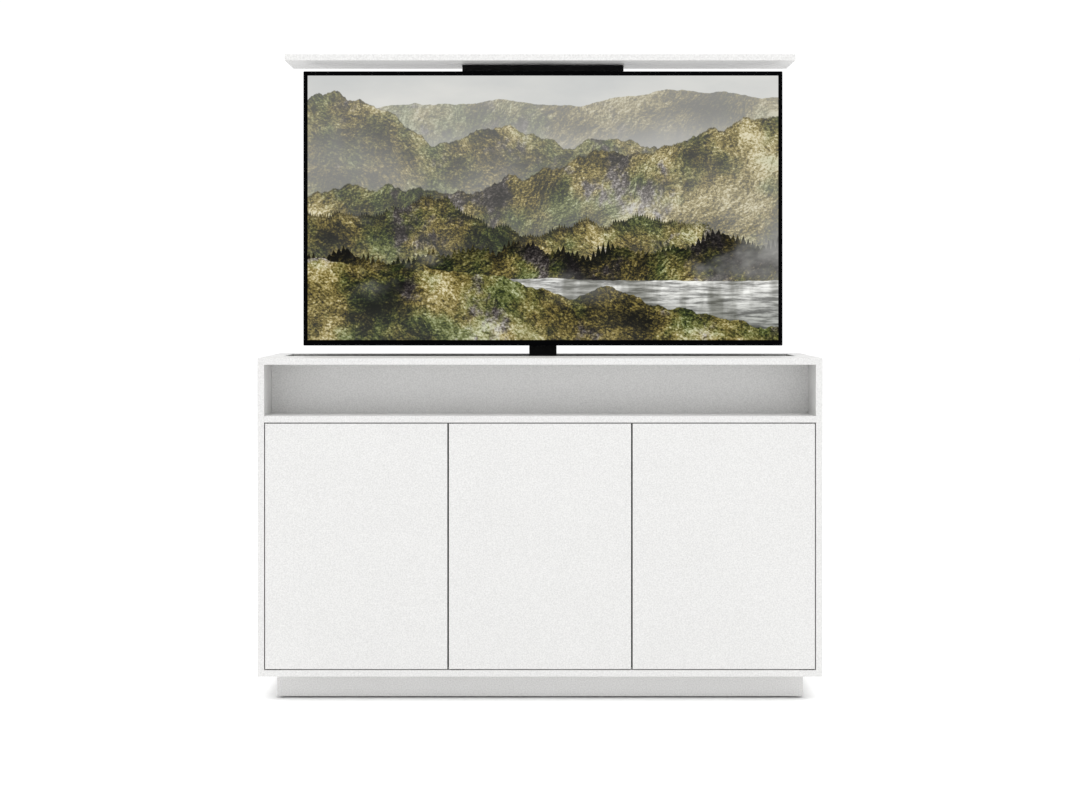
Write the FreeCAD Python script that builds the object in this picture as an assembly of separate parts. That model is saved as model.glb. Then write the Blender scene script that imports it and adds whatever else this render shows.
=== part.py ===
# Television lift cabinet: a white panel cabinet with an open niche, three push-to-open doors and
# a telescopic spindle lift that carries a flat television and the lid of its slot.
#
# Millimetres. X is to the right seen from the front, Y runs from the front to the back, Z is up.
# The origin is on the floor, under the middle of the cabinet. The lift stands fully raised.
import FreeCAD, Part
import math
import os

Vector = FreeCAD.Vector
X_AXIS = Vector(1, 0, 0)
Y_AXIS = Vector(0, 1, 0)
Z_AXIS = Vector(0, 0, 1)

# Fits
SLIDE_CLEARANCE = 0.3       # between faces of two bodies that slide or swing past each other
FIT_CLEARANCE = 0.05        # around a fastener, bearing or insert in its hole
RUNNING_CLEARANCE = 0.08    # radial, a spindle or shaft in its bush

# Television
SCREEN_WIDTH = 1439.0
SCREEN_HEIGHT = 809.0
BEZEL_SIDE = 11.5
BEZEL_TOP = 11.5
BEZEL_BOTTOM = 16.5
BEZEL_DEPTH = 14.0
BEZEL_CORNER = 3.0
BEZEL_STEP = 2.0            # the screen glass lies this far behind the bezel's front
SCREEN_LAP = 4.0            # how far the glass reaches behind the bezel's lip
SCREEN_THICKNESS = 7.0
CHASSIS_GAP = 1.0           # between the screen and its chassis plate
CHASSIS_THICKNESS = 1.0
CHASSIS_EDGE = 20.0
TV_SLIM_DEPTH = 34.0        # depth of the upper, slim part
TV_DEPTH = 58.0             # depth over the electronics cover
COVER_WALL = 2.5
COVER_SETBACK = 2.0         # the slim cover's outline inside the bezel's
SLIM_COVER_BEVEL = 6.0
ELECTRONICS_BEVEL = 4.0
ELECTRONICS_SEAT = 12.0     # rim of the electronics cover that lies on the slim cover
ELECTRONICS_WIDTH = 1100.0
ELECTRONICS_HEIGHT = 560.0
ELECTRONICS_RISE = 20.0     # electronics cover above the television's lower edge
ELECTRONICS_CORNER = 30.0
SOCKET_PANEL_HEIGHT = 180.0
SOCKET_PANEL_MARGIN = 4.0   # socket panel inside the electronics cover's depth
SOCKETS = 6
SOCKET = (6.0, 16.0)
SOCKET_PITCH = 26.0
BOARD = (240.0, 190.0, 1.6)
BOARD_STANDOFF = 4.0
BOARD_INSET = 40.0          # boards inside the electronics cover's sides
MAIN_PARTS = [(30.0, 60.0, 7.0), (45.0, 45.0, 9.0), (14.0, 70.0, 3.0)]      # width, height, rise
POWER_PARTS = [(35.0, 35.0, 16.0), (24.0, 60.0, 12.0), (50.0, 40.0, 20.0)]
SPEAKER = (180.0, 46.0)
SPEAKER_INSET = 90.0
BUTTON = (16.0, 5.0, 3.5)   # power button's length, depth and height inside the bezel
BUTTON_PROUD = 1.0
BUTTON_ROOM = 1.5           # travel room over the button
VESA_WIDTH = 400.0
VESA_HEIGHT = 300.0
VESA_ABOVE_COVER = 346.5    # middle of the mounting holes above the electronics cover's lower edge
INSERT_RADIUS = 6.0

# Lift hardware
TV_RAISED_GAP = 30.5        # under the raised television, above the cabinet's top
LIFT_OFFSET = 9.0           # the column stands this far right of the cabinet's middle
ARM_DEPTH = 6.0
ARM_WIDTH = 26.0
ARM_END = 50.0              # arm beyond its outer mounting hole
ARM_HOOK = 4.0
RAIL_DEPTH = 7.0
RAIL_HEIGHT = 40.0
RAIL_LENGTH = 460.0
RAIL_TO_HOLE = 60.0         # middle of a rail to the middle of the nearer mounting holes
STEEL = 5.0                 # thickness of the carriage bracket
CARRIAGE_WIDTH = 140.0
CARRIAGE_BELOW_RAIL = 50.0
COLUMN_FRONT_GAP = 2.0
COLUMN_WIDTH = 100.0
COLUMN_DEPTH = 76.0
COLUMN_WALL = 2.5
COLUMN_CORNER = 8.0
STAGE_GAP = 5.0             # between one stage's inside and the next one's outside
STAGE_STEP = 5.0            # between the stages' tops when the lift is down
COLLAR_HEIGHT = 60.0
COLLAR_RIM = 3.0
SHOE_HEIGHT = 40.0
LID_FLANGE = 4.0
LID_BRACKET_LENGTH = 498.0
LID_BRACKET_APRON = 40.0
LID_BRACKET_LIP = 6.0       # flange behind the inner column
LID_SCREW_INSET = 20.0
PLUG_HEIGHT = 12.0
BASE_PLATE = 6.0
BASE_PLATE_MARGIN = 26.0
BASE_PLATE_CORNER = 10.0
SPINDLE_RADIUS = 6.0
UPPER_SPINDLE_RADIUS = 9.0
SPINDLE_BOTTOM_PLAY = 0.5
SPINDLE_HEADROOM = 20.0
NUT_HEIGHT = 24.0
BEARING_HEIGHT = 8.0
BEARING_WALL = 6.0
PULLEY_HEIGHT = 12.0
PULLEY_PLAY = 2.0
SPINDLE_PULLEY_RADIUS = 22.0
MOTOR_PULLEY_RADIUS = 11.0
BELT_THICKNESS = 1.6
BELT_WIDTH = 9.0
MOTOR_RADIUS = 30.0
MOTOR_LENGTH = 140.0
MOTOR_FLANGE = 10.0
MOTOR_FLANGE_LIP = 2.0
MOTOR_BELL = 15.0
MOTOR_BELL_RADIUS = 21.0
MOTOR_SHAFT_RADIUS = 4.0
MOTOR_SHAFT_IN_CAN = 35.0
MOTOR_TO_COLUMN = 8.0
MOTOR_MOUNT_WALL = 3.0
CONTROL_BOX = (180.0, 62.0, 46.0)
INLET = (20.0, 26.0, 20.0)  # mains inlet's depth, width and height
INLET_RISE = 12.0
INLET_WALL = 2.5
INLET_PIN = 2.0             # half the width of a pin
INLET_PIN_SETBACK = 4.0
CONTROL_CORNER = 6.0
CONTROL_BOX_GAP = 60.0      # control box beyond the motor

# Cabinet
PANEL = 19.0
BACK_PANEL = 8.0
BACK_REBATE = 10.0
EDGE_EASE = 0.6
SLOT_SIDE_ROOM = 45.0       # beside the television, in the slot
END_RAIL = 49.0             # top panel beyond the slot's ends
LID_GAP = 3.0
TV_INSET = 46.0             # television's front behind the slot's front edge
SLOT_REAR_ROOM = 6.0        # behind the column
TV_FOOTROOM = 27.5          # under the lowered television
TV_HEADROOM = 27.5          # over the television, under the lid
NICHE_HEIGHT = 150.0
NICHE_DEPTH = 150.0
DIVIDER_TO_SLOT = 21.0
REAR_RAIL_REVEAL = 27.0     # top panel from the slot's rear edge to the upright rail
REAR_RAIL_HEIGHT = 80.0
DOORS = 3
DOOR_GAP = 3.0              # beside, over and under the doors
SEAM_GAP = 4.6              # between two doors
DOOR_THICKNESS = 19.0
DOOR_BACK_GAP = 3.0
PLINTH_HEIGHT = 68.0
PLINTH_BOARD = 18.0
PLINTH_SETBACK = 50.0
PLINTH_BLOCK = 44.0
GLIDE_HEIGHT = 5.0
GLIDE_RADIUS = 16.0
SHELF_PLAY = 1.5            # beside a loose shelf
SHELF_FRONT_PLAY = 4.0
PIN_RADIUS = 2.5
PIN_IN_WOOD = 8.0
PIN_REACH = 8.0
PIN_COLLAR_RADIUS = 4.5
PIN_COLLAR = 1.0
PIN_PITCH = 32.0
PIN_HOLES_EACH_WAY = 2
PIN_ROW_INSET = 34.0
CABLE_PORT = (160.0, 70.0)
CABLE_PORT_RISE = 60.0
CABLE_PORT_SPREAD = 420.0
GROMMET_LIP = 8.0
GROMMET_WALL = 2.5
GROMMET_FLANGE = 2.0        # let into the back panel, flush with it
VENT_SLOTS = 11
VENT_PITCH = 16.0
VENT_SLOT = (6.0, 90.0)
VENT_SPREAD = 480.0
VENT_DROP = 190.0

# Door hardware
PIVOT_INSET = 6.0           # hinge pivot's axis, from the door's edge and from its front face
PIVOT_RADIUS = 2.5
PIVOT_REACH = 9.0           # pivot pin inside the door
PIVOT_SHOULDER_RADIUS = 4.0
LEAF = (44.0, 8.0, 2.5)     # pivot hinge leaf: length, width, thickness
LEAF_END = 4.0              # leaf beyond the pivot's axis
LEAF_SCREWS = (13.0, 31.0)  # leaf's screws, from the pivot's axis
LATCH_SIZE = (13.0, 76.0, 18.0)
LATCH_SETBACK = 4.0         # latch body behind the partition's front edge
LATCH_ABOVE_SHELF = 150.0
LATCH_CORNER = 1.5
PLUNGER_RADIUS = 4.0
PLUNGER_LENGTH = 38.0
PLUNGER_TRAVEL = 3.0
STRIKE = (14.0, 1.5, 20.0)

# Fasteners: shank radius, head radius, head height, length under the head
LEAF_SCREW = (1.5, 2.8, 1.6, 10.0)
PANEL_SCREW = (2.0, 4.0, 2.4, 22.0)
BACK_SCREW = (1.75, 3.5, 2.0, 14.0)
LID_SCREW = (2.0, 4.0, 2.4, 12.0)
HEAD_BOLT = (2.5, 5.0, 2.8, 14.0)
BASE_BOLT = (3.0, 6.0, 4.0, 16.0)
VESA_BOLT = (3.0, 5.5, 4.0, 16.0)
RAIL_BOLT = (2.5, 4.5, 1.2)
COVER_SCREW = (1.5, 2.9, 1.6)
BACK_SCREWS_UP = 6          # screws up each side of the back panel
BACK_SCREWS_ACROSS = 9      # screws across its foot and across the rear rail
DIVIDER_SCREWS = 5          # screws up through the bottom panel into the divider
PARTITION_SCREW_INSET = 30.0

# Sizes that follow
tv_width = SCREEN_WIDTH + 2 * BEZEL_SIDE
tv_height = SCREEN_HEIGHT + BEZEL_TOP + BEZEL_BOTTOM
slot_length = tv_width + 2 * SLOT_SIDE_ROOM
width = slot_length + 2 * END_RAIL
slot_depth = (TV_INSET + TV_DEPTH + ARM_DEPTH + RAIL_DEPTH + STEEL + COLUMN_FRONT_GAP
              + COLUMN_DEPTH + SLOT_REAR_ROOM)
slot_front = NICHE_DEPTH + PANEL + DIVIDER_TO_SLOT
slot_rear = slot_front + slot_depth
depth = slot_rear + REAR_RAIL_REVEAL + PANEL + BACK_PANEL
body_height = 2 * PANEL + TV_FOOTROOM + tv_height + TV_HEADROOM

# Heights
z_body = GLIDE_HEIGHT + PLINTH_HEIGHT
z_floor = z_body + PANEL
z_top = z_body + body_height
z_ceiling = z_top - PANEL
z_niche = z_ceiling - NICHE_HEIGHT
z_store_top = z_niche - PANEL
z_shelf = (z_floor + z_store_top - PANEL) / 2
z_tv = z_top + TV_RAISED_GAP
z_tv_low = z_floor + TV_FOOTROOM
lift_travel = z_tv - z_tv_low
stage_travel = lift_travel / 2
z_lid = z_ceiling + lift_travel
z_head = z_lid - LID_FLANGE - STEEL
z_head_low = z_head - lift_travel
z_electronics = z_tv + ELECTRONICS_RISE
z_vesa = z_electronics + VESA_ABOVE_COVER

# Depths behind the cabinet's front
tv_front = slot_front + TV_INSET
glass_front = tv_front + BEZEL_STEP
chassis_front = glass_front + SCREEN_THICKNESS + CHASSIS_GAP
chassis_back = chassis_front + CHASSIS_THICKNESS
tv_slim_back = tv_front + TV_SLIM_DEPTH
tv_back = tv_front + TV_DEPTH
arm_back = tv_back + ARM_DEPTH
rail_back = arm_back + RAIL_DEPTH
carriage_back = rail_back + STEEL
column_middle = carriage_back + COLUMN_FRONT_GAP + COLUMN_DEPTH / 2
store_front = DOOR_THICKNESS + DOOR_BACK_GAP
back_face = depth - BACK_PANEL

# Widths
x_side = width / 2 - PANEL
door_width = (2 * x_side - 2 * DOOR_GAP - (DOORS - 1) * SEAM_GAP) / DOORS
x_lift = LIFT_OFFSET
x_motor = x_lift + COLUMN_WIDTH / 2 + MOTOR_TO_COLUMN + MOTOR_RADIUS

# Column stages, outside sizes
middle_width = COLUMN_WIDTH - 2 * (COLUMN_WALL + STAGE_GAP)
middle_depth = COLUMN_DEPTH - 2 * (COLUMN_WALL + STAGE_GAP)
inner_width = middle_width - 2 * (COLUMN_WALL + STAGE_GAP)
inner_depth = middle_depth - 2 * (COLUMN_WALL + STAGE_GAP)
z_base = z_floor + BASE_PLATE
z_pulley = z_base + BEARING_HEIGHT + PULLEY_PLAY
z_outer_top = z_head_low - 2 * STAGE_STEP
z_middle_low = z_pulley + PULLEY_HEIGHT + 4 * PULLEY_PLAY
z_middle = z_middle_low + stage_travel
z_middle_top = z_head_low - STAGE_STEP + stage_travel
z_upper_bearing = z_middle + NUT_HEIGHT
z_inner = z_middle_low + NUT_HEIGHT + BEARING_HEIGHT + 3 * PULLEY_PLAY + lift_travel
z_spindle_top = z_head_low - SPINDLE_HEADROOM


def at(behind_front):
    """Y of a plane this far behind the cabinet's front face."""
    return behind_front - depth / 2


def box(x0, x1, front, back, z0, z1):
    """A box between two X, two depths behind the front face, and two Z."""
    return Part.makeBox(x1 - x0, back - front, z1 - z0, Vector(x0, at(front), z0))


def board(x0, x1, front, back, z0, z1):
    """A panel with its arrises eased."""
    solid = box(x0, x1, front, back, z0, z1)
    return solid.makeFillet(EDGE_EASE, solid.Edges)


def rod(x, behind_front, z, direction, radius, length):
    """A cylinder that starts at a point and runs along direction."""
    return Part.makeCylinder(radius, length, Vector(x, at(behind_front), z), direction)


def ring(x, behind_front, z, outer, inner, length):
    """An upright ring."""
    return rod(x, behind_front, z, Z_AXIS, outer, length).cut(
        rod(x, behind_front, z, Z_AXIS, inner, length))


def screw(x, behind_front, z, direction, sizes, grow=0.0):
    """A countersunk fastener with its head's face at the point. With grow, the hole that takes it."""
    shank, head, head_height, length = sizes
    start = Vector(x, at(behind_front), z)
    cone = Part.makeCone(head + grow, shank + grow, head_height, start, direction)
    shaft = Part.makeCylinder(shank + grow, head_height + length + grow, start, direction)
    return cone.fuse(shaft).removeSplitter()


def bolt(x, behind_front, z, direction, sizes):
    """A cheese-head fastener with the underside of its head at the point."""
    shank, head, head_height, length = sizes
    start = Vector(x, at(behind_front), z)
    away = Vector(direction).multiply(-1)
    cap = Part.makeCylinder(head, head_height, start, away)
    rim = [edge for edge in cap.Edges
           if edge.Closed and edge.BoundBox.Center.sub(start).dot(away) > head_height / 2]
    cap = cap.makeFillet(head_height / 4, rim)
    return cap.fuse(Part.makeCylinder(shank, length, start, direction)).removeSplitter()


def cut_all(solid, tools):
    """The solid with every tool taken out of it."""
    return solid.cut(Part.makeCompound(tools)) if tools else solid


def tube_section(size_x, size_y, corner, z0, z1):
    """An upright block of rounded rectangular section about the column's axis."""
    front = column_middle - size_y / 2
    solid = box(x_lift - size_x / 2, x_lift + size_x / 2, front, front + size_y, z0, z1)
    upright = [edge for edge in solid.Edges if edge.BoundBox.ZLength > (z1 - z0) / 2]
    return solid.makeFillet(corner, upright)


def inner_corner(corner):
    """Inside corner radius of a stage with this outside corner radius."""
    return max(corner - COLUMN_WALL, 0.5)


def rect_tube(size_x, size_y, corner, z0, z1):
    """A stage's rectangular tube about the column's axis."""
    wall = 2 * COLUMN_WALL
    return tube_section(size_x, size_y, corner, z0, z1).cut(
        tube_section(size_x - wall, size_y - wall, inner_corner(corner), z0 - 1, z1 + 1))


def stage_corner(stage):
    """Outside corner radius of the column's stage 0, 1 or 2."""
    return max(COLUMN_CORNER - 2 * stage, 1.0)


def door_hinge_edge(door):
    """X of a door's hinge edge, and +1 or -1 for the way that the door runs from it."""
    left_edge = -x_side + DOOR_GAP + door * (door_width + SEAM_GAP)
    if door == DOORS - 1:
        return left_edge + door_width, -1
    return left_edge, 1


def pivot(door):
    """X of a door's pivot, and +1 or -1 for the way that the door runs from it."""
    edge, way = door_hinge_edge(door)
    return edge + way * PIVOT_INSET, way


def pivot_faces():
    """At a door's foot and head: Z of the cabinet's face, Z of the door's end, and the way out of the door."""
    return [(z_floor, z_floor + DOOR_GAP, -1), (z_store_top, z_store_top - DOOR_GAP, 1)]


def partition_places():
    """X of the middle of each upright partition, behind the seams between the doors."""
    return [-x_side + DOOR_GAP - SEAM_GAP / 2 + n * (door_width + SEAM_GAP) for n in range(1, DOORS)]


def bay_walls():
    """The left and right wall faces of each storage bay."""
    faces = [-x_side]
    for x in partition_places():
        faces += [x - PANEL / 2, x + PANEL / 2]
    faces.append(x_side)
    return [(faces[2 * n], faces[2 * n + 1]) for n in range(DOORS)]


def pin_rows():
    """Depths of the front and rear row of shelf pins."""
    return [store_front + PIN_ROW_INSET, NICHE_DEPTH - PIN_ROW_INSET]


def pin_holes(wall_x, into_wood):
    """Shelf pin holes in one wall face; into_wood is +1 or -1."""
    holes = []
    for row in pin_rows():
        for step in range(-PIN_HOLES_EACH_WAY, PIN_HOLES_EACH_WAY + 1):
            z = z_shelf - PIN_RADIUS + step * PIN_PITCH
            holes.append(rod(wall_x, row, z, X_AXIS * into_wood, PIN_RADIUS + FIT_CLEARANCE,
                             PIN_IN_WOOD + FIT_CLEARANCE))
    return holes


def leaf_block(door, face, inward, grow=0.0):
    """A pivot hinge leaf, round at its ends, let into the wood behind a face at this height."""
    x, way = pivot(door)
    length, wide, thick = LEAF
    half = wide / 2 + grow
    x0, x1 = sorted((x - way * (LEAF_END + grow), x + way * (length - LEAF_END + grow)))
    z0, z1 = sorted((face - inward * grow, face + inward * thick))
    block = box(x0, x1, PIVOT_INSET - half, PIVOT_INSET + half, z0, z1)
    ends = [edge for edge in block.Edges if edge.BoundBox.ZLength > thick / 2]
    return block.makeFillet(half - 0.01, ends)


def leaf_screws(door, face, inward, grow=0.0):
    """A leaf's two screws, or the holes that take them."""
    x, way = pivot(door)
    return [screw(x + way * along, PIVOT_INSET, face, Z_AXIS * inward, LEAF_SCREW, grow)
            for along in LEAF_SCREWS]


def cabinet_leaf_screws(grow=0.0):
    return [piece for number in range(DOORS) for face, door_end, out in pivot_faces()
            for piece in leaf_screws(number, face, out, grow)]


def cabinet_leaf_pockets():
    """What is cut from the boards over and under the doors for the pivot hinges."""
    pockets = [leaf_block(number, face, out, FIT_CLEARANCE)
               for number in range(DOORS) for face, door_end, out in pivot_faces()]
    return pockets + cabinet_leaf_screws(FIT_CLEARANCE)


# Cabinet panels

def back_screw_points():
    """Screws round the back panel's edge: into the sides and into the bottom panel."""
    inset = BACK_REBATE / 2
    points = []
    rise = (z_ceiling - z_body) / BACK_SCREWS_UP
    for side in (-1, 1):
        x = side * (x_side + inset)
        points += [(x, depth, z_body + rise * (n + 0.5), Y_AXIS * -1) for n in range(BACK_SCREWS_UP)]
    run = 2 * x_side / BACK_SCREWS_ACROSS
    for z in (z_body + PANEL / 2, z_ceiling - REAR_RAIL_HEIGHT / 2):
        points += [(-x_side + run * (n + 0.5), depth, z, Y_AXIS * -1) for n in range(BACK_SCREWS_ACROSS)]
    return points


def back_screws(grow=0.0):
    return [screw(*point, BACK_SCREW, grow) for point in back_screw_points()]


def carcass_screw_points():
    """Screws up through the bottom panel into the divider and the partitions, and in from the sides."""
    divider = NICHE_DEPTH + PANEL / 2
    run = 2 * x_side / DIVIDER_SCREWS
    points = [(-x_side + run * (n + 0.5), divider, z_body, Z_AXIS) for n in range(DIVIDER_SCREWS)]
    for x in partition_places():
        points += [(x, store_front + PARTITION_SCREW_INSET, z_body, Z_AXIS),
                   (x, NICHE_DEPTH - PARTITION_SCREW_INSET, z_body, Z_AXIS)]
    return points


def carcass_screws(grow=0.0):
    return [screw(*point, PANEL_SCREW, grow) for point in carcass_screw_points()]


def cabinet_screws():
    """The screws of the cabinet: round the back panel, up through the floor and in the pivot hinges."""
    return Part.makeCompound(back_screws() + carcass_screws() + cabinet_leaf_screws())


def side_panel(side):
    """An upright end of the cabinet, rebated for the back panel; side is -1 left or +1 right."""
    x0, x1 = sorted((side * x_side, side * width / 2))
    solid = board(x0, x1, 0, depth, z_body, z_ceiling)
    r0, r1 = sorted((side * (x_side - 1), side * (x_side + BACK_REBATE)))
    cuts = [box(r0, r1, back_face, depth + 1, z_body - 1, z_ceiling + 1)]
    cuts += pin_holes(side * x_side, side)
    cuts += back_screws(FIT_CLEARANCE)
    return cut_all(solid, cuts)


def top_panel():
    """The top, with the long slot that the television rises through."""
    solid = board(-width / 2, width / 2, 0, depth, z_ceiling, z_top)
    slot = box(-slot_length / 2, slot_length / 2, slot_front, slot_rear, z_ceiling - 1, z_top + 1)
    return solid.cut(slot)


def bottom_panel():
    solid = board(-x_side, x_side, 0, back_face, z_body, z_floor)
    cuts = base_bolt_holes() + carcass_screws(FIT_CLEARANCE) + back_screws(FIT_CLEARANCE)
    return cut_all(solid, cuts + cabinet_leaf_pockets())


def niche_shelf():
    solid = board(-x_side, x_side, 0, NICHE_DEPTH, z_store_top, z_niche)
    return cut_all(solid, cabinet_leaf_pockets())


def divider_panel():
    """The niche's back wall, which runs on down behind the storage bays."""
    solid = board(-x_side, x_side, NICHE_DEPTH, NICHE_DEPTH + PANEL, z_floor, z_ceiling)
    return cut_all(solid, carcass_screws(FIT_CLEARANCE))


def rear_rail():
    """The upright rail that stiffens the top behind the slot."""
    solid = board(-x_side, x_side, back_face - PANEL, back_face, z_ceiling - REAR_RAIL_HEIGHT, z_ceiling)
    return cut_all(solid, back_screws(FIT_CLEARANCE))


def partition(number):
    """An upright partition behind the seam between two doors."""
    x = partition_places()[number]
    solid = board(x - PANEL / 2, x + PANEL / 2, store_front, NICHE_DEPTH, z_floor, z_store_top)
    cuts = pin_holes(x - PANEL / 2, 1) + pin_holes(x + PANEL / 2, -1)
    cuts += carcass_screws(FIT_CLEARANCE)
    return cut_all(solid, cuts)


def port_places():
    """X of the middle of each cable port in the back panel."""
    return [-CABLE_PORT_SPREAD / 2, CABLE_PORT_SPREAD / 2]


def back_panel():
    """The thin back, with two cable ports low down and two fields of ventilation slots."""
    reach = x_side + BACK_REBATE - SLIDE_CLEARANCE
    solid = box(-reach, reach, back_face, depth, z_body, z_ceiling)
    slot_x, slot_z = VENT_SLOT
    z_vent = z_ceiling - VENT_DROP
    cuts = [port_block(x, 0, back_face - 1, depth + 1) for x in port_places()]
    cuts += [port_block(x, GROMMET_LIP, depth - GROMMET_FLANGE, depth + 1) for x in port_places()]
    for middle in (-VENT_SPREAD, VENT_SPREAD):
        for n in range(VENT_SLOTS):
            x = middle + (n - (VENT_SLOTS - 1) / 2) * VENT_PITCH
            slot = box(x - slot_x / 2, x + slot_x / 2, back_face - 1, depth + 1, z_vent - slot_z, z_vent)
            through = [edge for edge in slot.Edges if edge.BoundBox.YLength > BACK_PANEL]
            cuts.append(slot.makeFillet(slot_x / 2 - 0.01, through))
    cuts += back_screws(FIT_CLEARANCE)
    return cut_all(solid, cuts)


def port_block(x, grow, front, back):
    """A block of a cable port's outline, grown by this much all round."""
    port_x, port_z = CABLE_PORT
    z_port = z_floor + CABLE_PORT_RISE
    half = port_x / 2 + grow
    return box(x - half, x + half, front, back, z_port - grow, z_port + port_z + grow)


def cable_grommets():
    """Plastic frames that line the cable ports, their flanges let in flush with the back panel."""
    frames = []
    for x in port_places():
        flange = port_block(x, GROMMET_LIP - FIT_CLEARANCE, depth - GROMMET_FLANGE, depth)
        sleeve = port_block(x, -FIT_CLEARANCE, back_face, depth)
        inside = port_block(x, -GROMMET_WALL, back_face - 1, depth + 1)
        frames.append(flange.fuse(sleeve).cut(inside).removeSplitter())
    return Part.makeCompound(frames)


def plinth_board(name):
    """One board of the recessed base frame."""
    x1 = width / 2 - PLINTH_SETBACK
    front = PLINTH_SETBACK
    back = depth - PLINTH_SETBACK
    thick = PLINTH_BOARD
    places = {
        "front": (-x1, x1, front, front + thick),
        "rear": (-x1, x1, back - thick, back),
        "left": (-x1, -x1 + thick, front + thick, back - thick),
        "right": (x1 - thick, x1, front + thick, back - thick),
        "centre": (-thick / 2, thick / 2, front + thick, back - thick),
    }
    return board(*places[name], GLIDE_HEIGHT, z_body)


def plinth_frame():
    """The base frame behind its front board: the other boards and the glue blocks between them."""
    boards = [plinth_board(name) for name in ("rear", "left", "right", "centre")]
    return Part.makeCompound(boards + plinth_blocks())


def block_places():
    """Lower left corner of each glue block inside the plinth: its four corners and beside the centre rail."""
    left = -width / 2 + PLINTH_SETBACK + PLINTH_BOARD
    right = -left - PLINTH_BLOCK
    front = PLINTH_SETBACK + PLINTH_BOARD
    back = depth - PLINTH_SETBACK - PLINTH_BOARD - PLINTH_BLOCK
    return [(x, y) for x in (left, PLINTH_BOARD / 2, right) for y in (front, back)]


def plinth_blocks():
    return [board(x, x + PLINTH_BLOCK, y, y + PLINTH_BLOCK, GLIDE_HEIGHT, z_body)
            for x, y in block_places()]


def floor_glides():
    """Round plastic glides that hold the plinth just off the floor."""
    glides = []
    for x, y in block_places():
        disc = rod(x + PLINTH_BLOCK / 2, y + PLINTH_BLOCK / 2, 0, Z_AXIS, GLIDE_RADIUS, GLIDE_HEIGHT)
        foot = [edge for edge in disc.Edges if edge.Closed and edge.BoundBox.ZMax < 1e-6]
        glides.append(disc.makeChamfer(GLIDE_HEIGHT / 5, foot))
    return Part.makeCompound(glides)


# Shelves

def storage_shelf(bay):
    left, right = bay_walls()[bay]
    return board(left + SHELF_PLAY, right - SHELF_PLAY, store_front + SHELF_FRONT_PLAY,
                 NICHE_DEPTH - SLIDE_CLEARANCE, z_shelf, z_shelf + PANEL)


def shelf_pins():
    """Four collared pins under each loose shelf."""
    pins = []
    for left, right in bay_walls():
        for wall, way in ((left, 1), (right, -1)):
            for row in pin_rows():
                z = z_shelf - PIN_RADIUS
                stem = rod(wall - way * PIN_IN_WOOD, row, z, X_AXIS * way, PIN_RADIUS,
                           PIN_IN_WOOD + PIN_REACH)
                collar = rod(wall, row, z, X_AXIS * way, PIN_COLLAR_RADIUS, PIN_COLLAR)
                pins.append(stem.fuse(collar).removeSplitter())
    return Part.makeCompound(pins)


# Doors and their hardware

def door(number):
    """A flat inset door with the pivot hinges' leaves let into its ends."""
    edge, way = door_hinge_edge(number)
    x0, x1 = sorted((edge, edge + way * door_width))
    solid = board(x0, x1, 0, DOOR_THICKNESS, z_floor + DOOR_GAP, z_store_top - DOOR_GAP)
    cuts = []
    for face, door_end, out in pivot_faces():
        cuts.append(leaf_block(number, door_end, -out, FIT_CLEARANCE))
        cuts.append(rod(pivot(number)[0], PIVOT_INSET, door_end + out, Z_AXIS * -out,
                        PIVOT_RADIUS + SLIDE_CLEARANCE, 1 + PIVOT_REACH + SLIDE_CLEARANCE))
        cuts += leaf_screws(number, door_end, -out, FIT_CLEARANCE)
    return cut_all(solid, cuts)


def door_leaves(number):
    """The two leaves in a door's ends, each bored for its pivot pin."""
    leaves = []
    for face, door_end, out in pivot_faces():
        bore = rod(pivot(number)[0], PIVOT_INSET, door_end + out, Z_AXIS * -out,
                   PIVOT_RADIUS + RUNNING_CLEARANCE, PIVOT_REACH)
        holes = leaf_screws(number, door_end, -out, FIT_CLEARANCE)
        leaves.append(cut_all(leaf_block(number, door_end, -out), [bore] + holes))
    return leaves


def door_pivots():
    """The cabinet's leaves over and under the doors, each with its shoulder and pin."""
    leaves = []
    for number in range(DOORS):
        x = pivot(number)[0]
        for face, door_end, out in pivot_faces():
            pin = rod(x, PIVOT_INSET, face, Z_AXIS * -out, PIVOT_RADIUS, DOOR_GAP + PIVOT_REACH)
            shoulder = rod(x, PIVOT_INSET, face, Z_AXIS * -out, PIVOT_SHOULDER_RADIUS,
                           DOOR_GAP - FIT_CLEARANCE)
            leaf = leaf_block(number, face, out).fuse([pin, shoulder]).removeSplitter()
            leaves.append(cut_all(leaf, leaf_screws(number, face, out, FIT_CLEARANCE)))
    return Part.makeCompound(leaves)


def latch_place(number):
    """X of the wall face that carries a door's latch, the way out of that wall, and the latch's height."""
    edge, way = door_hinge_edge(number)
    walls = bay_walls()[number]
    wall = walls[1] if way > 0 else walls[0]
    return wall, -way, z_shelf + LATCH_ABOVE_SHELF


def latch_axis(number):
    """X of a latch plunger's axis."""
    wall, way, z = latch_place(number)
    return wall + way * LATCH_SIZE[0] / 2


def latch_bodies():
    """Push latch housings on the partitions, beside each door's free edge."""
    size_x, size_y, size_z = LATCH_SIZE
    front = store_front + LATCH_SETBACK
    bodies = []
    for number in range(DOORS):
        wall, way, z = latch_place(number)
        x0, x1 = sorted((wall, wall + way * size_x))
        case = box(x0, x1, front, front + size_y, z - size_z / 2, z + size_z / 2)
        along = [edge for edge in case.Edges if edge.BoundBox.YLength > size_y / 2]
        case = case.makeFillet(LATCH_CORNER, along)
        bore = rod(latch_axis(number), front - 1, z, Y_AXIS, PLUNGER_RADIUS + SLIDE_CLEARANCE,
                   PLUNGER_LENGTH + PLUNGER_TRAVEL)
        bodies.append(case.cut(bore))
    return Part.makeCompound(bodies)


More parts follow.
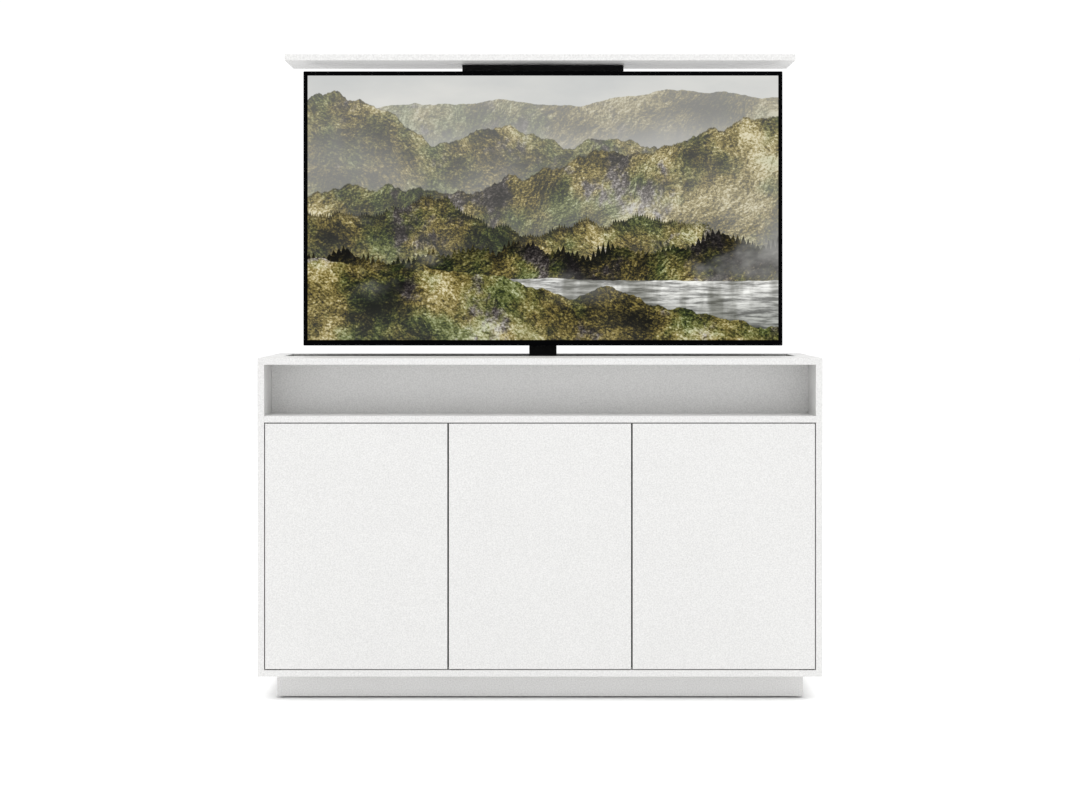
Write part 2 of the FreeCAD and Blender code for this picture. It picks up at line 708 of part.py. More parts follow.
def latch_plunger(number):
    """The sprung plunger that rests just behind the door's strike plate."""
    wall, way, z = latch_place(number)
    start = DOOR_THICKNESS + STRIKE[1] + SLIDE_CLEARANCE
    pin = rod(latch_axis(number), start, z, Y_AXIS, PLUNGER_RADIUS, PLUNGER_LENGTH)
    nose = [edge for edge in pin.Edges if edge.Closed and edge.BoundBox.YMax < at(start) + 1e-6]
    return pin.makeFillet(PLUNGER_RADIUS / 3, nose)


def strike_plate(number):
    """The small steel plate on the door's back that the latch holds."""
    wall, way, z = latch_place(number)
    x = latch_axis(number)
    size_x, thick, size_z = STRIKE
    plate = box(x - size_x / 2, x + size_x / 2, DOOR_THICKNESS, DOOR_THICKNESS + thick,
                z - size_z / 2, z + size_z / 2)
    corners = [edge for edge in plate.Edges if edge.BoundBox.YLength > thick / 2]
    return plate.makeFillet(size_x / 7, corners)


def door_fittings(number):
    """A door's own steel: its pivot hinge leaves, their screws and the strike plate."""
    screws = [piece for face, door_end, out in pivot_faces()
              for piece in leaf_screws(number, door_end, -out)]
    return Part.makeCompound(door_leaves(number) + screws + [strike_plate(number)])


# Lift: fixed stage and drive

def base_bolt_points():
    """The base plate's four bolts, with the underside of the head on the plate."""
    reach_x = COLUMN_WIDTH / 2 + BASE_PLATE_MARGIN / 2
    reach_y = COLUMN_DEPTH / 2 + BASE_PLATE_MARGIN / 2
    return [(x_lift + sx * reach_x, column_middle + sy * reach_y) for sx in (-1, 1) for sy in (-1, 1)]


def base_bolt_holes():
    radius = BASE_BOLT[0] + FIT_CLEARANCE
    reach = BASE_PLATE + PANEL
    return [rod(x, y, z_base + 1, Z_AXIS * -1, radius, reach + 2) for x, y in base_bolt_points()]


def base_bolts():
    return Part.makeCompound([bolt(x, y, z_base, Z_AXIS * -1, BASE_BOLT) for x, y in base_bolt_points()])


def base_plate():
    """Steel foot of the lift, under the column and the motor."""
    reach = COLUMN_WIDTH / 2 + BASE_PLATE_MARGIN
    plate = box(x_lift - reach, x_motor + MOTOR_RADIUS + MOTOR_MOUNT_WALL,
                column_middle - COLUMN_DEPTH / 2 - BASE_PLATE_MARGIN,
                column_middle + COLUMN_DEPTH / 2 + BASE_PLATE_MARGIN, z_floor, z_base)
    upright = [edge for edge in plate.Edges if edge.BoundBox.ZLength > BASE_PLATE / 2]
    return cut_all(plate.makeFillet(BASE_PLATE_CORNER, upright), base_bolt_holes())


def belt_window():
    """The opening in the column's foot that the drive belt runs through."""
    half = SPINDLE_PULLEY_RADIUS + 2 * BELT_THICKNESS
    return box(x_lift, x_lift + COLUMN_WIDTH, column_middle - half, column_middle + half,
               z_base - 1, z_pulley + PULLEY_HEIGHT + PULLEY_PLAY)


def outer_column():
    tube = rect_tube(COLUMN_WIDTH, COLUMN_DEPTH, stage_corner(0), z_base, z_outer_top)
    return tube.cut(belt_window())


def collar(size_x, size_y, next_x, next_y, stage, z_end):
    """A guide collar in the top of a stage: it fills the gap round the next stage, under a thin rim."""
    fit = 2 * (COLUMN_WALL + FIT_CLEARANCE)
    slide = 2 * SLIDE_CLEARANCE
    sleeve = tube_section(size_x - fit, size_y - fit, inner_corner(stage_corner(stage)),
                          z_end - COLLAR_HEIGHT, z_end)
    rim = tube_section(size_x, size_y, stage_corner(stage), z_end, z_end + COLLAR_RIM)
    passage = tube_section(next_x + slide, next_y + slide, stage_corner(stage + 1) + SLIDE_CLEARANCE,
                           z_end - COLLAR_HEIGHT - 1, z_end + COLLAR_RIM + 1)
    return sleeve.fuse(rim).cut(passage).removeSplitter()


def outer_collar():
    return collar(COLUMN_WIDTH, COLUMN_DEPTH, middle_width, middle_depth, 0, z_outer_top)


def middle_collar():
    return collar(middle_width, middle_depth, inner_width, inner_depth, 1, z_middle_top)


def shoe(size_x, size_y, corner, z0):
    """A guide shoe round a stage's foot, sliding inside the stage before it."""
    outside = 2 * (STAGE_GAP - SLIDE_CLEARANCE)
    body = tube_section(size_x + outside, size_y + outside, corner, z0, z0 + SHOE_HEIGHT)
    return body.cut(tube_section(size_x + 2 * FIT_CLEARANCE, size_y + 2 * FIT_CLEARANCE, corner,
                                 z0 - 1, z0 + SHOE_HEIGHT + 1))


def spindle_bearing():
    """The bearing on the base plate that carries the lower spindle."""
    return ring(x_lift, column_middle, z_base, SPINDLE_RADIUS + BEARING_WALL,
                SPINDLE_RADIUS + RUNNING_CLEARANCE, BEARING_HEIGHT)


def lower_spindle():
    length = z_spindle_top - z_base - SPINDLE_BOTTOM_PLAY
    return rod(x_lift, column_middle, z_base + SPINDLE_BOTTOM_PLAY, Z_AXIS, SPINDLE_RADIUS, length)


def pulley(x, radius):
    """A flanged pulley for the flat of the belt."""
    disc = rod(x, column_middle, z_pulley, Z_AXIS, radius + BELT_THICKNESS, PULLEY_HEIGHT)
    groove = ring(x, column_middle, z_pulley + (PULLEY_HEIGHT - BELT_WIDTH) / 2 - SLIDE_CLEARANCE,
                  radius + 2 * BELT_THICKNESS, radius, BELT_WIDTH + 2 * SLIDE_CLEARANCE)
    return disc.cut(groove)


def spindle_pulley():
    """The pulley on the lower spindle's foot."""
    bore = rod(x_lift, column_middle, z_pulley - 1, Z_AXIS, SPINDLE_RADIUS + FIT_CLEARANCE, PULLEY_HEIGHT + 2)
    return pulley(x_lift, SPINDLE_PULLEY_RADIUS).cut(bore)


def belt_loop(grow):
    """The solid outline round both pulleys, grown by this much."""
    z = z_pulley + (PULLEY_HEIGHT - BELT_WIDTH) / 2
    run = x_motor - x_lift
    big = SPINDLE_PULLEY_RADIUS + grow
    small = MOTOR_PULLEY_RADIUS + grow
    lean = math.asin((big - small) / run)
    y = at(column_middle)

    def rim(x, radius, angle):
        return Vector(x + radius * math.cos(angle), y + radius * math.sin(angle), z)

    upper = math.pi / 2 - lean
    outline = [
        Part.LineSegment(rim(x_lift, big, upper), rim(x_motor, small, upper)),
        Part.Arc(rim(x_motor, small, upper), rim(x_motor, small, 0), rim(x_motor, small, -upper)),
        Part.LineSegment(rim(x_motor, small, -upper), rim(x_lift, big, -upper)),
        Part.Arc(rim(x_lift, big, -upper), rim(x_lift, big, math.pi), rim(x_lift, big, upper)),
    ]
    return Part.Face(Part.Wire([piece.toShape() for piece in outline])).extrude(Z_AXIS * BELT_WIDTH)


def drive_belt():
    return belt_loop(SLIDE_CLEARANCE + BELT_THICKNESS).cut(belt_loop(SLIDE_CLEARANCE))


def motor_mount():
    """The welded housing over the belt that carries the motor on its top."""
    wall = MOTOR_MOUNT_WALL
    x0 = x_lift + COLUMN_WIDTH / 2
    x1 = x_motor + MOTOR_RADIUS
    front = column_middle - MOTOR_RADIUS
    back = column_middle + MOTOR_RADIUS
    z1 = z_pulley + PULLEY_HEIGHT + PULLEY_PLAY + wall
    shell = box(x0, x1, front, back, z_base, z1)
    shell = shell.cut(box(x0 - 1, x1 - wall, front + wall, back - wall, z_base - 1, z1 - wall))
    return shell.cut(rod(x_motor, column_middle, z_base, Z_AXIS, 2 * MOTOR_SHAFT_RADIUS, z1))


def motor():
    """The drive motor, with a foot flange, a stepped end bell and a bore for its shaft."""
    z0 = z_pulley + PULLEY_HEIGHT + PULLEY_PLAY + MOTOR_MOUNT_WALL
    can = rod(x_motor, column_middle, z0, Z_AXIS, MOTOR_RADIUS - MOTOR_FLANGE_LIP, MOTOR_LENGTH)
    bell = rod(x_motor, column_middle, z0 + MOTOR_LENGTH, Z_AXIS, MOTOR_BELL_RADIUS, MOTOR_BELL)
    flange = rod(x_motor, column_middle, z0, Z_AXIS, MOTOR_RADIUS, MOTOR_FLANGE)
    bore = rod(x_motor, column_middle, z0 - 1, Z_AXIS, MOTOR_SHAFT_RADIUS + RUNNING_CLEARANCE,
               MOTOR_SHAFT_IN_CAN + 2)
    return can.fuse([bell, flange]).cut(bore).removeSplitter()


def motor_pulley():
    """The motor's shaft with its pulley."""
    top = z_pulley + PULLEY_HEIGHT + PULLEY_PLAY + MOTOR_MOUNT_WALL + MOTOR_SHAFT_IN_CAN
    shaft = rod(x_motor, column_middle, z_pulley, Z_AXIS, MOTOR_SHAFT_RADIUS, top - z_pulley)
    return shaft.fuse(pulley(x_motor, MOTOR_PULLEY_RADIUS)).removeSplitter()


def lift_base():
    """The base plate with the motor's housing welded to it, and the spindle's bearing."""
    return Part.makeCompound([base_plate().fuse(motor_mount()).removeSplitter(), spindle_bearing()])


def inlet_block(grow, start, end):
    """A block of the mains inlet's outline, from start to end in from the control unit's left end."""
    x0 = x_motor + MOTOR_RADIUS + CONTROL_BOX_GAP
    half = INLET[1] / 2 + grow
    low = z_floor + INLET_RISE - grow
    return box(x0 + start, x0 + end, column_middle - half, column_middle + half, low,
               z_floor + INLET_RISE + INLET[2] + grow)


def control_case():
    size_x, size_y, size_z = CONTROL_BOX
    x0 = x_motor + MOTOR_RADIUS + CONTROL_BOX_GAP
    front = column_middle - size_y / 2
    case = box(x0, x0 + size_x, front, front + size_y, z_floor, z_floor + size_z)
    upright = [edge for edge in case.Edges if edge.BoundBox.ZLength > size_z / 2]
    return case.makeFillet(CONTROL_CORNER, upright).cut(inlet_block(0, -1, INLET[0]))


def mains_inlet():
    """The socket in the control unit's end, with its three flat pins."""
    block = inlet_block(-FIT_CLEARANCE, 0, INLET[0] - FIT_CLEARANCE)
    block = block.cut(inlet_block(-INLET_WALL, -1, INLET[0] - INLET_WALL))
    x0 = x_motor + MOTOR_RADIUS + CONTROL_BOX_GAP
    middle = z_floor + INLET_RISE + INLET[2] / 2
    for side in (-1, 0, 1):
        y = column_middle + side * INLET[1] / 4
        z = middle + (1 - 2 * abs(side)) * INLET_PIN
        block = block.fuse(box(x0 + INLET_PIN_SETBACK, x0 + INLET[0] - 1, y - INLET_PIN, y + INLET_PIN,
                               z - INLET_PIN / 2, z + INLET_PIN / 2))
    return block.removeSplitter()


def control_unit():
    """The lift's control unit on the cabinet's floor."""
    return Part.makeCompound([control_case(), mains_inlet()])


# Lift: middle stage

def middle_column():
    return rect_tube(middle_width, middle_depth, stage_corner(1), z_middle, z_middle_top)


def middle_guides():
    """The middle stage's sliding collar and the shoe round its foot."""
    return Part.makeCompound([middle_collar(), shoe(middle_width, middle_depth, stage_corner(1), z_middle)])


def stage_nut(size_x, size_y, corner, z0, bore):
    """A nut block that fills the foot of a stage round its spindle."""
    inside = 2 * (COLUMN_WALL + FIT_CLEARANCE)
    block = tube_section(size_x - inside, size_y - inside, inner_corner(corner), z0, z0 + NUT_HEIGHT)
    return block.cut(rod(x_lift, column_middle, z0 - 1, Z_AXIS, bore + RUNNING_CLEARANCE, NUT_HEIGHT + 2))


def upper_bearing():
    """The bearing on the middle stage's nut that carries the hollow upper spindle."""
    return ring(x_lift, column_middle, z_upper_bearing, UPPER_SPINDLE_RADIUS + BEARING_WALL,
                UPPER_SPINDLE_RADIUS + RUNNING_CLEARANCE, BEARING_HEIGHT)


def middle_nut():
    """The middle stage's nut, and the bearing on it."""
    nut = stage_nut(middle_width, middle_depth, stage_corner(1), z_middle, SPINDLE_RADIUS)
    return Part.makeCompound([nut, upper_bearing()])


def upper_spindle():
    z0 = z_upper_bearing + SPINDLE_BOTTOM_PLAY
    top = z_spindle_top + stage_travel
    return ring(x_lift, column_middle, z0, UPPER_SPINDLE_RADIUS, SPINDLE_RADIUS + RUNNING_CLEARANCE, top - z0)


# Lift: carriage with the lid and the television

def head_bolt_points():
    reach_x = inner_width / 2 - COLUMN_WALL - HEAD_BOLT[1]
    reach_y = inner_depth / 2 - COLUMN_WALL - HEAD_BOLT[1]
    return [(x_lift + sx * reach_x, column_middle + sy * reach_y, z_lid, Z_AXIS * -1)
            for sx in (-1, 1) for sy in (-1, 1)]


def head_bolts(grow=0.0):
    return [screw(*point, HEAD_BOLT, grow) for point in head_bolt_points()]


def inner_column():
    """The inner stage, closed at its head by a welded and tapped plug."""
    tube = rect_tube(inner_width, inner_depth, stage_corner(2), z_inner, z_head)
    plug = tube_section(inner_width - COLUMN_WALL, inner_depth - COLUMN_WALL, stage_corner(2),
                        z_head - PLUG_HEIGHT, z_head)
    return cut_all(tube.fuse(plug).removeSplitter(), head_bolts(FIT_CLEARANCE))


def inner_nut():
    """The inner stage's nut and the shoe round its foot."""
    nut = stage_nut(inner_width, inner_depth, stage_corner(2), z_inner, UPPER_SPINDLE_RADIUS)
    return Part.makeCompound([nut, shoe(inner_width, inner_depth, stage_corner(2), z_inner)])


def rail_places():
    """Heights of the middle of the lower and upper cross rail."""
    reach = VESA_HEIGHT / 2 - RAIL_TO_HOLE
    return [z_vesa - reach, z_vesa + reach]


def rail_bolt_points():
    return [(x_lift + side * CARRIAGE_WIDTH / 3, arm_back + RAIL_BOLT[2], z, Y_AXIS)
            for z in rail_places() for side in (-1, 1)]


def rail_bolt_holes():
    radius = RAIL_BOLT[0] + FIT_CLEARANCE
    return [rod(x, y, z, way, radius, RAIL_DEPTH + STEEL + 1) for x, y, z, way in rail_bolt_points()]


def rail_bolts():
    """Bolts that hold the cross rails to the carriage; their flat heads lie inside the rails."""
    radius, head, head_height = RAIL_BOLT
    length = RAIL_DEPTH + STEEL - head_height
    return [rod(x, y, z, way, radius, length).fuse(
        rod(x, arm_back, z, way, head, head_height)).removeSplitter()
        for x, y, z, way in rail_bolt_points()]


def carriage_bracket():
    """Bent steel bracket: its top sits on the inner column and its plate hangs in front of the stages."""
    half = CARRIAGE_WIDTH / 2
    low = rail_places()[0] - RAIL_HEIGHT / 2 - CARRIAGE_BELOW_RAIL
    back = column_middle + inner_depth / 2
    plate = box(x_lift - half, x_lift + half, rail_back, carriage_back, low, z_head + STEEL)
    shelf = box(x_lift - half, x_lift + half, rail_back, back, z_head, z_head + STEEL)
    bracket = plate.fuse(shelf).removeSplitter()
    return cut_all(bracket, head_bolts(FIT_CLEARANCE) + rail_bolt_holes())


def lid_screw_points():
    half = LID_BRACKET_LENGTH / 2
    front = column_middle - inner_depth / 2
    back = column_middle + inner_depth / 2 - 2 * LID_SCREW[1]
    return [(x_lift + side * x, y, z_lid - LID_FLANGE, Z_AXIS)
            for side in (-1, 1) for x in (half - LID_SCREW_INSET, half / 2) for y in (front, back)]


def lid_screws(grow=0.0):
    return [screw(*point, LID_SCREW, grow) for point in lid_screw_points()]


def lid_bracket():
    """The wide angle on the carriage that the lid is screwed to, with an apron in front."""
    half = LID_BRACKET_LENGTH / 2
    front = rail_back - LID_FLANGE
    back = column_middle + inner_depth / 2 + LID_BRACKET_LIP
    flange = box(x_lift - half, x_lift + half, front, back, z_lid - LID_FLANGE, z_lid)
    apron = box(x_lift - half, x_lift + half, front, rail_back, z_lid - LID_BRACKET_APRON, z_lid)
    bracket = flange.fuse(apron).removeSplitter()
    return cut_all(bracket, head_bolts(FIT_CLEARANCE) + lid_screws(FIT_CLEARANCE))


def lid():
    """The piece of the top that rises with the television."""
    half = slot_length / 2 - LID_GAP
    solid = board(-half, half, slot_front + LID_GAP, slot_rear - LID_GAP, z_lid, z_lid + PANEL)
    return cut_all(solid, lid_screws(FIT_CLEARANCE))


def cross_rails():
    """Two steel channels across the carriage that the television's arms hang on."""
    half = RAIL_LENGTH / 2
    groove = RAIL_BOLT[2] + SLIDE_CLEARANCE
    rails = []
    for z in rail_places():
        low = z - RAIL_HEIGHT / 2
        high = z + RAIL_HEIGHT / 2
        rail = box(x_lift - half, x_lift + half, arm_back, rail_back, low, high)
        channel = box(x_lift - half - 1, x_lift + half + 1, arm_back - 1, arm_back + groove,
                      low + RAIL_HEIGHT / 4, high - RAIL_HEIGHT / 4)
        rails.append(cut_all(rail, [channel] + rail_bolt_holes()))
    return Part.makeCompound(rails)


def vesa_points():
    """The television's four mounting holes, on the arms' back face."""
    return [(x_lift + sx * VESA_WIDTH / 2, arm_back, z_vesa + sz * VESA_HEIGHT / 2)
            for sx in (-1, 1) for sz in (-1, 1)]


def tv_arm(side):
    """An upright arm bolted to the television's back, hung on the cross rails."""
    x = x_lift + side * VESA_WIDTH / 2
    low = z_vesa - VESA_HEIGHT / 2 - ARM_END
    high = z_vesa + VESA_HEIGHT / 2 + ARM_END
    arm = box(x - ARM_WIDTH / 2, x + ARM_WIDTH / 2, tv_back, arm_back, low, high)
    corners = [edge for edge in arm.Edges if edge.BoundBox.YLength > ARM_DEPTH / 2]
    arm = arm.makeFillet(ARM_WIDTH / 4, corners)
    hooks = [box(x - ARM_WIDTH / 2, x + ARM_WIDTH / 2, arm_back - 1, rail_back - 1,
                 z + RAIL_HEIGHT / 2, z + RAIL_HEIGHT / 2 + ARM_HOOK) for z in rail_places()]
    holes = [rod(px, tv_back - 1, pz, Y_AXIS, VESA_BOLT[0] + FIT_CLEARANCE, ARM_DEPTH + 2)
             for px, py, pz in vesa_points()]
    return cut_all(arm.fuse(hooks).removeSplitter(), holes)


def vesa_bolts():
    return [bolt(x, y, z, Y_AXIS * -1, VESA_BOLT) for x, y, z in vesa_points()]


def carriage_bolts():
    """The bolts of the carriage: into the inner column, through the cross rails and into the television."""
    return Part.makeCompound(head_bolts() + rail_bolts() + vesa_bolts())


# Television

def tv_block(inset, front, back):
    """A block of the television's outline, drawn in by inset all round."""
    half = tv_width / 2 - inset
    return box(x_lift - half, x_lift + half, front, back, z_tv + inset, z_tv + tv_height - inset)


def screen_block(lap, front, back):
    """A block of the visible screen's outline, grown by lap all round."""
    half = SCREEN_WIDTH / 2 + lap
    low = z_tv + BEZEL_BOTTOM
    return box(x_lift - half, x_lift + half, front, back, low - lap, low + SCREEN_HEIGHT + lap)


def tv_bezel():
    """The slim frame round the screen, stepped inside to hold the glass."""
    frame = tv_block(0, tv_front, tv_front + BEZEL_DEPTH)
    outside = [edge for edge in frame.Edges if edge.BoundBox.YLength > BEZEL_DEPTH / 2]
    frame = frame.makeFillet(BEZEL_CORNER, outside)
    face = [edge for edge in frame.Edges if edge.BoundBox.YMax < at(tv_front) + 1e-6]
    frame = frame.makeFillet(BEZEL_CORNER / 3, face)
    frame = frame.cut(screen_block(0, tv_front - 1, tv_front + BEZEL_DEPTH + 1))
    frame = frame.cut(screen_block(SCREEN_LAP, glass_front, tv_front + BEZEL_DEPTH + 1))
    return frame.cut(power_button_block(SLIDE_CLEARANCE, BUTTON_ROOM))


def tv_screen():
    return screen_block(SCREEN_LAP - SLIDE_CLEARANCE, glass_front, glass_front + SCREEN_THICKNESS)


def mounting_posts():
    """Threaded posts from the chassis to the television's back."""
    posts = []
    for x, y, z in vesa_points():
        post = rod(x, chassis_front, z, Y_AXIS, INSERT_RADIUS, tv_back - chassis_front)
        thread = rod(x, tv_back + 1, z, Y_AXIS * -1, VESA_BOLT[0] + FIT_CLEARANCE, VESA_BOLT[3])
        posts.append(post.cut(thread))
    return posts


def tv_chassis():
    """The steel plate behind the screen, its turned edge against the screen, with the mounting posts."""
    lap = SCREEN_LAP - SLIDE_CLEARANCE
    plate = screen_block(lap, chassis_front, chassis_back)
    edge = screen_block(lap, glass_front + SCREEN_THICKNESS, chassis_front)
    edge = edge.cut(screen_block(lap - CHASSIS_EDGE, tv_front, chassis_back))
    return plate.fuse([edge] + mounting_posts()).removeSplitter()


def electronics_block(inset, front, back):
    """A rounded block of the electronics cover's outline, drawn in by inset."""
    half = ELECTRONICS_WIDTH / 2 - inset
    low = z_electronics + inset
    block = box(x_lift - half, x_lift + half, front, back, low, z_electronics + ELECTRONICS_HEIGHT - inset)
    corners = [edge for edge in block.Edges if edge.BoundBox.YLength > (back - front) / 2]
    return block.makeFillet(ELECTRONICS_CORNER - inset, corners)


def bevelled(solid, back, bevel):
    """The solid with the edges of its back face cut away at 45 degrees."""
    rim = [edge for edge in solid.Edges if edge.BoundBox.YMin > at(back) - 1e-6]
    return solid.makeChamfer(bevel, rim)


def slim_tray():
    """The television's slim back, walls and rear together."""
    front = tv_front + BEZEL_DEPTH
    inner_back = tv_slim_back - COVER_WALL
    tray = bevelled(tv_block(COVER_SETBACK, front, tv_slim_back), tv_slim_back, SLIM_COVER_BEVEL)
    inner = tv_block(COVER_SETBACK + COVER_WALL, front - 1, inner_back)
    return tray.cut(bevelled(inner, inner_back, SLIM_COVER_BEVEL))


def tv_slim_frame():
    """The frame round the television's edge, from the bezel to the rear sheet."""
    return slim_tray().cut(tv_block(0, tv_slim_back - COVER_WALL, tv_slim_back + 1))


def tv_slim_cover():
    """The rear sheet behind the screen, open where the electronics cover sits."""
    front = tv_front + BEZEL_DEPTH
    sheet = slim_tray().common(tv_block(0, tv_slim_back - COVER_WALL, tv_slim_back + 1))
    window = electronics_block(ELECTRONICS_SEAT, front - 1, tv_slim_back + 1)
    return cut_all(sheet.cut(window), cover_screws(FIT_CLEARANCE))


def tv_electronics_cover():
    """The deeper rear cover over the boards: a shell with a seat round its edge and screw bosses."""
    cover = bevelled(electronics_block(0, tv_slim_back, tv_back), tv_back, ELECTRONICS_BEVEL)
    inner_back = tv_back - COVER_WALL
    inner = bevelled(electronics_block(COVER_WALL, tv_slim_back - 1, inner_back), inner_back,
                     ELECTRONICS_BEVEL)
    seat = electronics_block(COVER_WALL, tv_slim_back, tv_slim_back + COVER_WALL)
    seat = seat.cut(electronics_block(ELECTRONICS_SEAT, tv_slim_back - 1, tv_back))
    boss = (ELECTRONICS_SEAT - ELECTRONICS_BEVEL) / 2
    bosses = [rod(x, tv_slim_back, z, Y_AXIS, boss, inner_back - tv_slim_back)
              for x, y, z, way in cover_screw_points()]
    cover = cover.cut(inner).fuse([seat] + bosses).removeSplitter()
    posts = [rod(x, tv_slim_back - 1, z, Y_AXIS, INSERT_RADIUS + FIT_CLEARANCE, TV_DEPTH)
             for x, y, z in vesa_points()]
    return cut_all(cover, posts + [socket_block(0, -1, COVER_WALL + 1)] + cover_screws(FIT_CLEARANCE))


def socket_block(grow, start, end):
    """A block of the socket panel's outline, from start to end in from the cover's side."""
    x0 = x_lift - ELECTRONICS_WIDTH / 2
    half = SOCKET_PANEL_HEIGHT / 2 + grow
    return box(x0 + start, x0 + end, tv_slim_back + SOCKET_PANEL_MARGIN - grow,
               tv_back - SOCKET_PANEL_MARGIN - ELECTRONICS_BEVEL + grow, z_vesa - half, z_vesa + half)


def socket_panel():
    """The plate with the television's signal sockets, in the electronics cover's side."""
    plate = socket_block(-FIT_CLEARANCE, 0.5, COVER_WALL)
    middle = (tv_slim_back + tv_back - ELECTRONICS_BEVEL) / 2
    x0 = x_lift - ELECTRONICS_WIDTH / 2
    holes = []
    for n in range(SOCKETS):
        z = z_vesa + (n - (SOCKETS - 1) / 2) * SOCKET_PITCH
        holes.append(box(x0 - 1, x0 + COVER_WALL + 1, middle - SOCKET[0] / 2, middle + SOCKET[0] / 2,
                         z - SOCKET[1] / 2, z + SOCKET[1] / 2))
    return cut_all(plate, holes)


def cover_screw_points():
    """Screws through the electronics cover's bosses into the slim cover."""
    half_x = ELECTRONICS_WIDTH / 2 - ELECTRONICS_SEAT / 2
    half_z = ELECTRONICS_HEIGHT / 2 - ELECTRONICS_SEAT / 2
    z_mid = z_electronics + ELECTRONICS_HEIGHT / 2
    points = [(x_lift + n * half_x / 4, z_mid + side * half_z) for n in (-3, -1, 1, 3) for side in (-1, 1)]
    points += [(x_lift + side * half_x, z_mid + n * half_z / 4) for n in (-3, 3) for side in (-1, 1)]
    return [(x, tv_back - ELECTRONICS_BEVEL, z, Y_AXIS * -1) for x, z in points]


def cover_screws(grow=0.0):
    """The rear covers' screws or, with grow, the holes that take them and their heads' pockets."""
    length = TV_DEPTH - TV_SLIM_DEPTH - ELECTRONICS_BEVEL - COVER_SCREW[2] + COVER_WALL
    pockets = []
    if grow:
        pockets = [rod(x, y, z, Y_AXIS, COVER_SCREW[1] + grow, 2 * ELECTRONICS_BEVEL)
                   for x, y, z, way in cover_screw_points()]
    return pockets + [screw(*point, COVER_SCREW + (length,), grow) for point in cover_screw_points()]


def circuit_board(x0, parts):
    """A board on the chassis, on four standoffs, with larger components in a row along it."""
    size_x, size_z, thick = BOARD
    card = chassis_back + BOARD_STANDOFF
    z0 = z_vesa - size_z / 2
    board_solid = box(x0, x0 + size_x, card, card + thick, z0, z0 + size_z)
    inset = 2 * BOARD_STANDOFF
    pieces = [rod(x, chassis_back, z, Y_AXIS, BOARD_STANDOFF, BOARD_STANDOFF)
              for x in (x0 + inset, x0 + size_x - inset) for z in (z0 + inset, z0 + size_z - inset)]
    pitch = size_x / (len(parts) + 1)
    for n, (wide, tall, high) in enumerate(parts):
        x = x0 + (n + 1) * pitch
        pieces.append(box(x - wide / 2, x + wide / 2, card + thick, card + thick + high,
                          z_vesa - tall / 2, z_vesa + tall / 2))
    return board_solid.fuse(pieces).removeSplitter()


def tv_boards():
    """The main board, the power board and the socket panel."""
    half = ELECTRONICS_WIDTH / 2 - BOARD_INSET
    main = circuit_board(x_lift - half, MAIN_PARTS)
    power = circuit_board(x_lift + half - BOARD[0], POWER_PARTS)
    return Part.makeCompound([main, power, socket_panel()])


def tv_speakers():
    """Two down-firing speaker boxes low inside the electronics cover."""
    size_x, size_z = SPEAKER
    low = z_electronics + ELECTRONICS_SEAT + COVER_WALL
    middle = (chassis_back + tv_back - COVER_WALL) / 2
    units = []
    for side in (-1, 1):
        x = x_lift + side * (ELECTRONICS_WIDTH / 2 - SPEAKER_INSET - size_x / 2)
        case = box(x - size_x / 2, x + size_x / 2, chassis_back, tv_back - COVER_WALL - 1, low, low + size_z)
        cone = Part.makeCone(size_z / 3, size_z / 6, size_z / 6, Vector(x, at(middle), low), Z_AXIS)
        units.append(case.makeFillet(size_z / 12, case.Edges).cut(cone))
    return Part.makeCompound(units)


def power_button_block(grow, above):
    """A block of the power button's outline under the bezel's lower edge."""
    half = BUTTON[0] / 2 + grow
    deep = BUTTON[1] / 2 + grow
    middle = tv_front + BEZEL_DEPTH / 2
    return box(x_lift - half, x_lift + half, middle - deep, middle + deep,
               z_tv - BUTTON_PROUD, z_tv + BUTTON[2] + above)


def tv_power_button():
    button = power_button_block(0, 0)
    rim = [edge for edge in button.Edges if edge.BoundBox.ZMax < z_tv]
    return button.makeFillet(BUTTON_PROUD / 2, rim)


